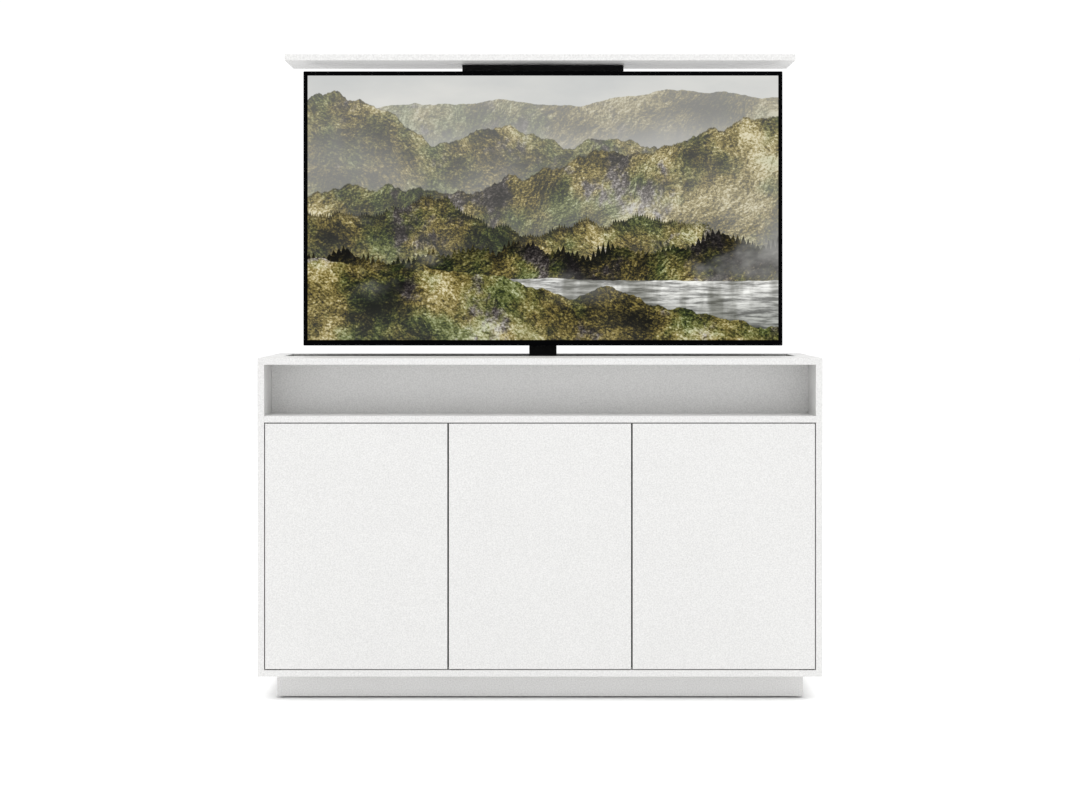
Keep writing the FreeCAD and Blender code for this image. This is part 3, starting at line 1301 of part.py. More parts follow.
def all_nodes():
    """Every piece by the name of its node."""
    made = {
        "side_panel_left": side_panel(-1),
        "side_panel_right": side_panel(1),
        "top_panel": top_panel(),
        "bottom_panel": bottom_panel(),
        "niche_shelf": niche_shelf(),
        "divider_panel": divider_panel(),
        "rear_rail": rear_rail(),
        "back_panel": back_panel(),
        "partitions": Part.makeCompound([partition(side) for side in range(DOORS - 1)]),
        "cabinet_screws": cabinet_screws(),
        "cable_grommets": cable_grommets(),
        "plinth_front": plinth_board("front"),
        "plinth_frame": plinth_frame(),
        "floor_glides": floor_glides(),
        "storage_shelves": Part.makeCompound([storage_shelf(bay) for bay in range(DOORS)]),
        "shelf_pins": shelf_pins(),
        "door_pivots": door_pivots(),
        "latch_bodies": latch_bodies(),
        "lift_base": lift_base(),
        "lift_base_bolts": base_bolts(),
        "lift_outer_column": outer_column(),
        "lift_outer_collar": outer_collar(),
        "lift_motor": motor(),
        "lift_motor_pulley": motor_pulley(),
        "lift_drive_belt": drive_belt(),
        "lift_control_unit": control_unit(),
        "lift_lower_spindle": lower_spindle(),
        "lift_spindle_pulley": spindle_pulley(),
        "lift_middle_column": middle_column(),
        "lift_middle_guides": middle_guides(),
        "lift_middle_nut": middle_nut(),
        "lift_upper_spindle": upper_spindle(),
        "lift_inner_column": inner_column(),
        "lift_inner_nut": inner_nut(),
        "lift_carriage_bracket": carriage_bracket(),
        "lift_carriage_bolts": carriage_bolts(),
        "lid": lid(),
        "lid_bracket": lid_bracket(),
        "lid_screws": Part.makeCompound(lid_screws()),
        "tv_cross_rails": cross_rails(),
        "tv_arms": Part.makeCompound([tv_arm(-1), tv_arm(1)]),
        "tv_bezel": tv_bezel(),
        "tv_screen": tv_screen(),
        "tv_chassis": tv_chassis(),
        "tv_slim_frame": tv_slim_frame(),
        "tv_slim_cover": tv_slim_cover(),
        "tv_electronics_cover": tv_electronics_cover(),
        "tv_cover_screws": Part.makeCompound(cover_screws()),
        "tv_boards": tv_boards(),
        "tv_speakers": tv_speakers(),
        "tv_power_button": tv_power_button(),
    }
    for number, name in enumerate(("left", "middle", "right")):
        made["door_" + name] = door(number)
        made["door_fittings_" + name] = door_fittings(number)
        made["latch_plunger_" + name] = latch_plunger(number)
    return made


def main():
    os.makedirs("parts", exist_ok=True)
    for name, shape in all_nodes().items():
        if not shape.isValid():
            print("not valid:", name)
        shape.exportStep(os.path.join("parts", name + ".step"))


main()
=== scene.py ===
import math

import bmesh
import bpy
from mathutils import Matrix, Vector


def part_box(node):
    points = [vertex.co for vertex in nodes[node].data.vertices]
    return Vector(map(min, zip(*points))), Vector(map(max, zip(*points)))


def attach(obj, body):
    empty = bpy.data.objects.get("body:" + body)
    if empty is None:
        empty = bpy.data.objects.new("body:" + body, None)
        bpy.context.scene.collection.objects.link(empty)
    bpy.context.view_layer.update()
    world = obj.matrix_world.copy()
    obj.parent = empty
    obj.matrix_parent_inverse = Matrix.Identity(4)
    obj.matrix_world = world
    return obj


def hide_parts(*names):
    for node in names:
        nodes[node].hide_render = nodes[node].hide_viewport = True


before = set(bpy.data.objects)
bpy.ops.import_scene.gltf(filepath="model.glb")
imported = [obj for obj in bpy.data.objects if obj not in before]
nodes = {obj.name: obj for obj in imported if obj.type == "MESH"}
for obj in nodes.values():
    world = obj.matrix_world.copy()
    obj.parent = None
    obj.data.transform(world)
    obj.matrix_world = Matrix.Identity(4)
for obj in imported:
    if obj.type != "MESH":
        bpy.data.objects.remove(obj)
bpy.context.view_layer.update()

MM = 0.001
SIDES = ("left", "middle", "right")

# Camera: level, in front of the middle of the cabinet, its window shifted down.
CAMERA_PLACE = (0.0, -5.464, 1.185)
CAMERA_LENS = 59.8
CAMERA_SHIFT = -0.101

# Studio: an even white room over a pale floor, and one wide soft lamp overhead.
ROOM_SEEN = 1.05
ROOM_LIGHT = 0.936
LAMP_PLACE = (0, -4.0, 10.2)
LAMP_AIM = (0, 0, 0.9)
LAMP_SIZE = (8.0, 6.0)
LAMP_POWER = 540.0
FLOOR_SIZE = 60.0
FLOOR_TONE = 0.96
# The floor's glow is painted light: missing just before the cabinet, as a painted contact shadow, and
# raised beside it, lightening the cabinet's cast shadow.
FLOOR_GLOW = (0.08, 0.18, 0.12)        # before the cabinet, beside it, and far out
FLOOR_SIDE = (0.76, 0.81)              # half widths between which it changes
FLOOR_PAINTED_SHADOW_SPAN = (0.24, 0.30)           # painted contact shadow: the glow before the cabinet starts from here
FLOOR_NEAR = 1.6
FLOOR_FAR = 5.0

# Colours, as linear light.
LACQUER_WHITE = (0.657, 0.655, 0.647)
LACQUER_MOTTLE = 0.12
# Darkening of the lid's underside: painted shade.
UNDERSIDE_PAINTED_SHADE = 0.88
BOARD_WHITE = (0.66, 0.66, 0.645)
BOARD_MOTTLE = 0.05
POWDER_BLACK = (0.0135, 0.0137, 0.0141)
SCUFF_BLACK = (0.012, 0.012, 0.013)
MOULDED_BLACK = (0.010, 0.0102, 0.0108)
MOULDED_GREY = (0.50, 0.50, 0.49)
BEZEL_BLACK = (0.0013, 0.0014, 0.0018)
RUBBER_BLACK = (0.012, 0.012, 0.012)
# Black felt, also on the strips that paint shade behind the door seams.
FELT_BLACK = (0.008, 0.008, 0.0085)
FELT_GREY = (0.38, 0.38, 0.375)
ZINC = (0.56, 0.57, 0.58)
ZINC_WARM = (0.68, 0.66, 0.60)
STEEL = (0.50, 0.50, 0.51)
MASK_GREEN = (0.008, 0.075, 0.028)
TRACE_GREEN = (0.02, 0.15, 0.06)
TINNED = (0.55, 0.55, 0.52)
UNLIT_GLASS = (0.002, 0.002, 0.002)

# Picture on the screen: heights are shares of the picture's height, lengths are in picture heights.
PICTURE_LEFT = -0.7093
PICTURE_FOOT = 1.0505
PICTURE_WIDTH = 1.4368
PICTURE_HEIGHT = 0.8070
MIST = (0.50, 0.495, 0.47)
SKY_LOW = (0.74, 0.735, 0.70)
SKY_HIGH = (0.60, 0.61, 0.60)
LAKE_NEAR = (0.13, 0.14, 0.12)
LAKE_FAR = (0.78, 0.78, 0.75)
SHADOW_BROWN = (0.05, 0.052, 0.03)
GRASS_TONES = (
    (0.0, (0.006, 0.006, 0.004)), (0.25, (0.034, 0.030, 0.013)), (0.42, (0.110, 0.086, 0.022)),
    (0.58, (0.235, 0.184, 0.046)), (0.75, (0.44, 0.36, 0.14)), (1.0, (0.78, 0.72, 0.50)),
)
MOSS_TONES = (
    (0.0, (0.004, 0.006, 0.003)), (0.25, (0.018, 0.028, 0.010)), (0.42, (0.060, 0.076, 0.018)),
    (0.58, (0.145, 0.162, 0.042)), (0.75, (0.27, 0.30, 0.13)), (1.0, (0.60, 0.62, 0.40)),
)
ROCK_TONES = (
    (0.0, (0.006, 0.005, 0.005)), (0.25, (0.028, 0.023, 0.022)), (0.45, (0.080, 0.068, 0.062)),
    (0.60, (0.175, 0.155, 0.142)), (0.78, (0.33, 0.30, 0.28)), (1.0, (0.62, 0.60, 0.57)),
)
# Each row of hills, farthest first: height of its middle, fall to the right, how far its ridge
# rises and dips, length of its hills, tree height on the ridge, haze, brightness, seed.
HILLS = (
    (0.900, -0.08, 0.14, 0.60, 0.000, 0.52, 0.58, 3.1),
    (0.760, 0.26, 0.34, 0.55, 0.004, 0.24, 0.55, 9.4),
    (0.640, -0.34, 0.30, 0.46, 0.008, 0.12, 0.52, 17.7),
    (0.450, 0.12, 0.24, 0.36, 0.022, 0.04, 0.47, 23.2),
    (0.330, -0.06, 0.14, 0.24, 0.045, 0.00, 0.38, 31.9),
)
SHORE = (0.190, 0.24, 0.12, 0.30, 0.000, 0.00, 0.54, 41.3)
LAKE_LEVEL = 0.225

# Sizes of the fine detail.
PANEL_EASE = 1.0 * MM
SHORT_EDGE = 60 * MM                   # edges under this length stay sharp
FELT_EASE = 0.5 * MM
FELT_THICKNESS = 1.5 * MM
# The black felt strips behind the door seams paint shade into the seams.
SEAM_SHADE_STRIP_WIDTH = 15 * MM
SEAM_SHADE_STRIP_END = 4 * MM
LID_CLEARANCE = 3 * MM
LINING_HEIGHT = 17 * MM
LINING_BELOW = 1 * MM
UNDERSIDE_REACH = 0.4 * MM             # how far up its edges the painted shade on the lid's underside goes
BOARD_FRONT = 26.0 * MM
BOARD_REAR = 27.6 * MM
COVER_WALL = 2.5 * MM
PORTS = 6
PORT_PITCH = 26 * MM
PORT_SUNK = 0.6 * MM
PORT_BACK = 55 * MM
PORT_HEIGHT = 1.400                    # of the middle of the row
UPPER_BORE = 6.08 * MM
UPPER_THREAD = 1.2 * MM


class Value:
    """A node's output that can stand in a sum."""

    def __init__(self, maker, socket):
        self.maker = maker
        self.socket = socket

    def __add__(self, other):
        return self.maker.math("ADD", self, other)

    __radd__ = __add__

    def __sub__(self, other):
        return self.maker.math("SUBTRACT", self, other)

    def __rsub__(self, other):
        return self.maker.math("SUBTRACT", other, self)

    def __mul__(self, other):
        return self.maker.math("MULTIPLY", self, other)

    __rmul__ = __mul__

    def __truediv__(self, other):
        return self.maker.math("DIVIDE", self, other)


class Maker:
    """Adds nodes to a tree. What a node gives comes back as a Value."""

    prefix = "ShaderNode"

    def __init__(self, tree):
        self.nodes = tree.nodes
        self.links = tree.links

    def feed(self, socket, value):
        """Links a Value, or each Value of a list, to the socket, or sets the socket's own value."""
        if isinstance(value, list):
            for item in value:
                self.feed(socket, item)
        elif isinstance(value, Value):
            self.links.new(value.socket, socket)
        elif isinstance(value, tuple) and len(value) == 3 and socket.type == "RGBA":
            socket.default_value = (*value, 1.0)
        else:
            socket.default_value = value

    def node(self, kind, values, **settings):
        """Adds a node of the kind, with its settings, and feeds its inputs by name or number."""
        if "Node" not in kind:
            kind = self.prefix + kind
        node = self.nodes.new(kind)
        for name, value in settings.items():
            setattr(node, name, value)
        for key, value in values.items():
            self.feed(node.inputs[key], value)
        return node

    def add(self, kind, values, output=0, **settings):
        """Adds a node like node() and gives one of its outputs."""
        return Value(self, self.node(kind, values, **settings).outputs[output])

    def math(self, operation, a, b=0.0, c=0.0):
        return self.add("ShaderNodeMath", {0: a, 1: b, 2: c}, operation=operation)

    def vector(self, x, y, z):
        return self.add("ShaderNodeCombineXYZ", {0: x, 1: y, 2: z})

    def parts(self, vector):
        """The three parts of a vector, each as a Value."""
        node = self.node("ShaderNodeSeparateXYZ", {0: vector})
        return [Value(self, output) for output in node.outputs]


class Finish(Maker):
    """A material being made."""

    def __init__(self, name):
        self.material = bpy.data.materials.new(name)
        self.material.use_nodes = True
        super().__init__(self.material.node_tree)
        self.nodes.clear()
        self.shader = self.nodes.new("ShaderNodeBsdfPrincipled")
        output = self.nodes.new("ShaderNodeOutputMaterial")
        self.links.new(self.shader.outputs["BSDF"], output.inputs["Surface"])
        self.place = self.add("TexCoord", {}, "Object")

    def set(self, **values):
        """Gives the shader's sockets their values; an underscore in a name stands for a space."""
        for name, value in values.items():
            self.feed(self.shader.inputs[name.replace("_", " ")], value)

    def mix(self, factor, a, b):
        """Two colours mixed, the second in full where the factor is 1."""
        return self.add("Mix", {0: factor, 6: a, 7: b}, 2, data_type="RGBA")

    def tint(self, colour, tone):
        """The colour made lighter or darker by the tone."""
        return self.add("VectorMath", {0: colour, "Scale": tone}, operation="SCALE")

    def ramp(self, value, stops):
        """The colour at the value, from stops of (value, colour)."""
        node = self.node("ValToRGB", {0: value})
        steps = node.color_ramp.elements
        while len(steps) < len(stops):
            steps.new(0.5)
        for step, (place, colour) in zip(steps, stops):
            step.position = place
            step.color = (*colour, 1.0)
        return Value(self, node.outputs[0])

    def between(self, value, low, high, start=0.0, end=1.0, smooth=False):
        """The value's range from low to high moved to the range from start to end."""
        values = {"Value": value, "From Min": low, "From Max": high, "To Min": start, "To Max": end}
        kind = "SMOOTHSTEP" if smooth else "LINEAR"
        return self.add("MapRange", values, interpolation_type=kind)

    def stretched(self, scale):
        """Places scaled along each axis, so that a pattern read there is drawn out or pressed."""
        return self.add("Mapping", {"Vector": self.place, "Scale": scale})

    def noise(self, size, detail=2.0, roughness=0.5, place=None):
        """Noise from 0 to 1 whose features are about the size given, in metres."""
        values = {"Vector": place or self.place, "Scale": 1 / size, "Detail": detail,
                  "Roughness": roughness}
        return self.add("TexNoise", values)

    def cells(self, size, output="Distance", place=None, **settings):
        """A pattern of cells about the size given, in metres."""
        values = {"Vector": place or self.place, "Scale": 1 / size}
        return self.add("TexVoronoi", values, output, **settings)

    def bump(self, height, depth, strength=1.0):
        """Relief from a height of 0 to 1, depth in metres."""
        return self.add("Bump", {"Height": height, "Distance": depth, "Strength": strength})


def white_lacquer(name, colour, grain, painted_shade_below=None):
    """Sprayed matt lacquer on board: a fine mottle in the tone and a soft orange peel.

    Below the height given as the last argument, the tone is darkened: painted shade on an underside.
    """
    finish = Finish(name)
    mottle = finish.noise(3.8 * MM, 2.0, 0.6)
    cloud = finish.noise(180 * MM, 2.0)
    tone = (finish.between(mottle, 0.3, 0.7, -grain, grain)
            + finish.between(cloud, 0.3, 0.7, 0.993, 1.007))
    # Painted shade: faces below the given height are darkened.
    if painted_shade_below:
        height = finish.parts(finish.place)[2]
        tone = tone * finish.between(height, painted_shade_below, painted_shade_below + UNDERSIDE_REACH, UNDERSIDE_PAINTED_SHADE, 1.0)
    peel = finish.noise(2.5 * MM, 1.0)
    finish.set(Base_Color=finish.tint(colour, tone),
               Roughness=finish.between(mottle, 0.3, 0.7, 0.42, 0.54),
               Normal=finish.bump(peel, 0.05 * MM, 0.5))
    return finish.material


def powder_coat(name, colour):
    """Satin powder coat on steel: a pebbled skin with a few pale scuffs."""
    finish = Finish(name)
    pebble = finish.noise(0.9 * MM, 2.0, 0.55)
    cloud = finish.noise(60 * MM, 3.0)
    scuff = finish.noise(7 * MM, 5.0, 0.7, finish.stretched((1, 1, 0.12)))
    base = finish.tint(colour, finish.between(pebble, 0.3, 0.7, 0.75, 1.3))
    base = finish.mix(finish.between(scuff, 0.70, 0.78, 0, 0.6), base, SCUFF_BLACK)
    rough = (finish.between(pebble, 0.3, 0.7, 0.42, 0.54)
             + finish.between(cloud, 0.3, 0.7, -0.04, 0.04))
    finish.set(Base_Color=base, Roughness=rough, Normal=finish.bump(pebble, 0.04 * MM, 0.8))
    finish.shader.inputs["Specular IOR Level"].default_value = 0.05
    return finish.material


def zinc_plate(name):
    """Bright zinc plating, a little warm in places, with fine scratches."""
    finish = Finish(name)
    cloud = finish.noise(8 * MM, 3.0, 0.6)
    scratch = finish.noise(0.8 * MM, 3.0, 0.6, finish.stretched((1, 1, 0.06)))
    finish.set(Base_Color=finish.mix(finish.between(cloud, 0.35, 0.7), ZINC, ZINC_WARM),
               Metallic=1.0,
               Roughness=finish.between(scratch, 0.3, 0.7, 0.26, 0.42),
               Normal=finish.bump(scratch, 0.01 * MM, 0.5))
    return finish.material


def ground_steel(name):
    """Oiled steel, with the fine rings that grinding leaves round a spindle."""
    finish = Finish(name)
    rings = finish.noise(0.5 * MM, 3.0, 0.7, finish.stretched((0.02, 0.02, 1)))
    oil = finish.noise(25 * MM, 3.0)
    tone = finish.between(rings, 0.3, 0.7, 0.85, 1.1) * finish.between(oil, 0.35, 0.65, 0.8, 1.0)
    finish.set(Base_Color=finish.tint(STEEL, tone), Metallic=1.0,
               Roughness=finish.between(oil, 0.35, 0.65, 0.16, 0.3),
               Normal=finish.bump(rings, 0.02 * MM, 0.6))
    return finish.material


def spangled_sheet(name):
    """Galvanised sheet with its crystal spangle."""
    finish = Finish(name)
    crystal = finish.cells(9 * MM, "Color")
    tone = finish.between(finish.add("SeparateColor", {0: crystal}), 0, 1, 0.8, 1.1)
    haze = finish.noise(2 * MM, 3.0)
    finish.set(Base_Color=finish.tint(ZINC, tone), Metallic=1.0,
               Roughness=finish.between(tone, 0.8, 1.1, 0.5, 0.3),
               Normal=finish.bump(haze, 0.01 * MM, 0.4))
    return finish.material


def moulded_plastic(name, colour, shine):
    """Moulded plastic with a spark-eroded grain."""
    finish = Finish(name)
    grain = finish.noise(0.7 * MM, 2.0, 0.6)
    cloud = finish.noise(90 * MM, 2.0)
    tone = finish.between(grain, 0.3, 0.7, 0.85, 1.15) * finish.between(cloud, 0.3, 0.7, 0.96, 1.04)
    finish.set(Base_Color=finish.tint(colour, tone),
               Roughness=finish.between(grain, 0.3, 0.7, 0.46, 0.6),
               Normal=finish.bump(grain, 0.05 * MM, 0.7))
    finish.shader.inputs["Specular IOR Level"].default_value = shine
    return finish.material


def bezel_paint(name):
    """Satin black paint on the bezel, with a trace of flow in it."""
    finish = Finish(name)
    flow = finish.noise(30 * MM, 2.0, 0.5, finish.stretched((0.15, 1, 1)))
    dust = finish.noise(1.2 * MM, 2.0)
    finish.set(Base_Color=finish.tint(BEZEL_BLACK, finish.between(flow, 0.3, 0.7, 0.8, 1.2)),
               Roughness=finish.between(dust, 0.3, 0.7, 0.26, 0.34),
               Normal=finish.bump(dust, 0.005 * MM, 0.4))
    finish.shader.inputs["Specular IOR Level"].default_value = 0.01
    return finish.material


def drive_rubber(name):
    """Black rubber with a woven face."""
    finish = Finish(name)
    weave = finish.cells(0.8 * MM, distance="CHEBYCHEV")
    dust = finish.noise(12 * MM, 4.0)
    finish.set(Base_Color=finish.tint(RUBBER_BLACK, finish.between(dust, 0.3, 0.7, 0.8, 1.6)),
               Roughness=finish.between(dust, 0.3, 0.7, 0.62, 0.78),
               Normal=finish.bump(weave, 0.1 * MM, 0.7))
    return finish.material


def felt(name, colour):
    """Needled felt: a soft matt pile of short fibres."""
    finish = Finish(name)
    pile = finish.noise(0.6 * MM, 4.0, 0.8)
    lie = finish.noise(14 * MM, 3.0)
    tone = finish.between(pile, 0.3, 0.7, 0.6, 1.4) * finish.between(lie, 0.3, 0.7, 0.85, 1.15)
    finish.set(Base_Color=finish.tint(colour, tone),
               Roughness=finish.between(pile, 0.3, 0.7, 0.85, 1.0),
               Normal=finish.bump(pile, 0.3 * MM, 0.8))
    finish.shader.inputs["Specular IOR Level"].default_value = 0.1
    return finish.material


def board_mask(name):
    """Green solder mask with traces and tinned pads, black parts behind it and posts before it."""
    finish = Finish(name)
    depth = finish.parts(finish.place)[1]
    part = finish.between(depth, BOARD_REAR + 0.05 * MM, BOARD_REAR + 0.15 * MM)
    post = finish.between(depth, BOARD_FRONT - 0.05 * MM, BOARD_FRONT - 0.15 * MM)
    track = finish.cells(9 * MM, place=finish.stretched((1, 1, 0.4)), distance="MANHATTAN")
    lines = finish.math("FRACT", track * 9.0)
    trace = finish.between(lines, 0.45, 0.55)
    pads = finish.cells(5 * MM, feature="F1")
    tin = finish.math("MAXIMUM", finish.between(pads, 0.16, 0.12) * (1.0 - part), post)
    colour = finish.mix(part, finish.mix(trace, MASK_GREEN, TRACE_GREEN), MOULDED_BLACK)
    finish.set(Base_Color=finish.mix(tin, colour, TINNED), Metallic=tin * 0.9,
               Roughness=finish.between(trace, 0, 1, 0.38, 0.28),
               Normal=finish.bump(trace * (1.0 - part), 0.05 * MM, 0.8))
    return finish.material


def screen_picture(name):
    """The lit picture on the screen: rows of misty wooded hills behind a lake."""
    finish = Finish(name)
    across, _, up = finish.parts(finish.place)
    x = (across - PICTURE_LEFT) / PICTURE_HEIGHT
    z = (up - PICTURE_FOOT) / PICTURE_HEIGHT
    wide = PICTURE_WIDTH / PICTURE_HEIGHT

    def noise(px, pz, size, detail, roughness=0.5, seed=0.0):
        return finish.noise(size, detail, roughness, finish.vector(px, seed, pz))

    def ridge(hills):
        """The height of a row's ridge at x."""
        height, fall, rise, length, trees, _, _, seed = hills
        line = ((noise(x, 0.0, length, 7.0, 0.52, seed) - 0.5) * (2 * rise)
                + (x / wide - 0.5) * (-fall) + height)
        if trees:
            cell = x / (trees * 0.42)
            peak = finish.math("PINGPONG", cell + noise(x, 3.0, trees, 1.0, 0.5, seed) * 0.7, 0.5) * 2.0
            tall = finish.between(noise(x, 5.0, trees * 1.3, 1.0, 0.5, seed), 0.3, 0.7, 0.1, 1.0)
            line = line + peak * tall * trees
        return line

    def slopes(hills, drop):
        """The colour of a row's slopes, drop below its ridge."""
        _, fall, _, _, trees, haze, tone, seed = hills
        grain = 0.06 + 0.10 * (1 - haze)
        lean = z + x * (0.6 if fall > 0 else -0.6)
        warp = noise(x, z, 0.3, 3.0, 0.5, seed + 5) * 0.25
        px, pz = x + warp, lean - warp
        rough = noise(px, pz, grain * 1.8, 12.0, 0.70, seed)
        lit = noise(px + 0.005, pz - 0.007, grain * 1.8, 12.0, 0.70, seed)
        patch = noise(x, z * 1.4, 0.26, 4.0, 0.55, seed + 2)
        tuft = noise(x, z * 1.5, 0.011, 4.0, 0.85, seed + 3)
        value = ((rough - 0.5) * 0.9 + (rough - lit) * 4.2 + (patch - 0.5) * 2.0
                 + (tuft - 0.5) * 2.1 + tone - 0.055)
        green = finish.between(noise(x, z, 0.20, 4.0, 0.6, seed + 7), 0.45, 0.62)
        bare = finish.between(noise(x, z * 0.8, 0.18, 6.0, 0.65, seed + 8), 0.55, 0.62)
        colour = finish.mix(green, finish.ramp(value, GRASS_TONES), finish.ramp(value, MOSS_TONES))
        colour = finish.mix(bare, colour, finish.ramp(value - 0.06, ROCK_TONES))
        if trees:
            colour = finish.tint(colour, finish.between(drop, 0.0, trees * 1.6, 0.45, 1.0, True))
        foot = finish.between(drop, 0.05, 0.26, 0.0, 0.8 * haze + 0.05, True)
        return finish.mix(finish.math("MINIMUM", foot + haze, 0.93), colour, MIST)

    cloud = noise(x * 0.55, z * 1.6, 0.35, 5.0, 0.5, 70.0)
    colour = finish.mix(finish.between(cloud, 0.35, 0.65), SKY_HIGH, SKY_LOW)
    for hills in HILLS:
        drop = ridge(hills) - z
        colour = finish.mix(finish.between(drop, -0.0012, 0.0012), colour, slopes(hills, drop))
    ripple = noise(x * 0.12, z, 0.012, 5.0, 0.65, 50.0)
    depth = finish.between(z, 0.0, LAKE_LEVEL, 1.0, 0.0)
    water = finish.mix(depth, LAKE_FAR, LAKE_NEAR)
    water = finish.tint(water, finish.between(ripple, 0.40, 0.64, 0.35, 1.5))
    shade = noise(x, z * 0.25, 0.10, 4.0, 0.5, 55.0)
    water = finish.mix(finish.between(shade, 0.46, 0.6, 0.0, 0.6), water, SHADOW_BROWN)
    bank = noise(x, 9.0, 0.4, 5.0, 0.6, 52.0) * 0.05 + LAKE_LEVEL - 0.025
    colour = finish.mix(finish.between(bank - z, -0.0012, 0.0012), colour, water)
    drop = ridge(SHORE) - z
    colour = finish.mix(finish.between(drop, -0.0015, 0.0015), colour, slopes(SHORE, drop))
    drift = noise(x * 0.6, z, 0.35, 5.0, 0.55, 80.0)
    low = (finish.between(z, 0.25, 0.62, 1.0, 0.0, True)
           * finish.between(z, 0.1, 0.35, 0.0, 1.0, True))
    colour = finish.mix(finish.between(drift, 0.50, 0.68, 0.0, 0.8, True) * low, colour, MIST)
    inside = (finish.math("GREATER_THAN", x, 0.0) * finish.math("LESS_THAN", x, wide)
              * finish.math("GREATER_THAN", z, 0.0) * finish.math("LESS_THAN", z, 1.0))
    finish.set(Base_Color=UNLIT_GLASS, Emission_Color=finish.tint(colour, inside),
               Emission_Strength=1.0, Roughness=0.22)
    finish.shader.inputs["Specular IOR Level"].default_value = 0.04
    return finish.material


FINISHES = {name: maker(name, *values) for name, maker, *values in (
    ("white_lacquer", white_lacquer, LACQUER_WHITE, LACQUER_MOTTLE),
    # The lid's lacquer has painted shade on its underside.
    ("lid_lacquer", white_lacquer, LACQUER_WHITE, LACQUER_MOTTLE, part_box("lid")[0][2]),
    ("white_board", white_lacquer, BOARD_WHITE, BOARD_MOTTLE),
    ("black_steel", powder_coat, POWDER_BLACK),
    ("zinc_steel", zinc_plate),
    ("spindle_steel", ground_steel),
    ("zinc_sheet", spangled_sheet),
    ("black_plastic", moulded_plastic, MOULDED_BLACK, 0.35),
    ("grey_plastic", moulded_plastic, MOULDED_GREY, 0.5),
    ("circuit_board", board_mask),
    ("bezel_plastic", bezel_paint),
    ("screen", screen_picture),
    ("belt_rubber", drive_rubber),
    ("felt", felt, FELT_BLACK),
    ("grey_felt", felt, FELT_GREY),
)}
OWN_FINISH = {"door_fittings_" + side: "black_steel" for side in SIDES}
OWN_FINISH.update(back_panel="white_board", door_pivots="black_steel")


def dress_nodes():
    """Gives each CAD node the finish of its slot, or its own."""
    for name, node in nodes.items():
        slot = node.data.materials[0].name.split(".")[0]
        node.data.materials[0] = FINISHES[OWN_FINISH.get(name, slot)]


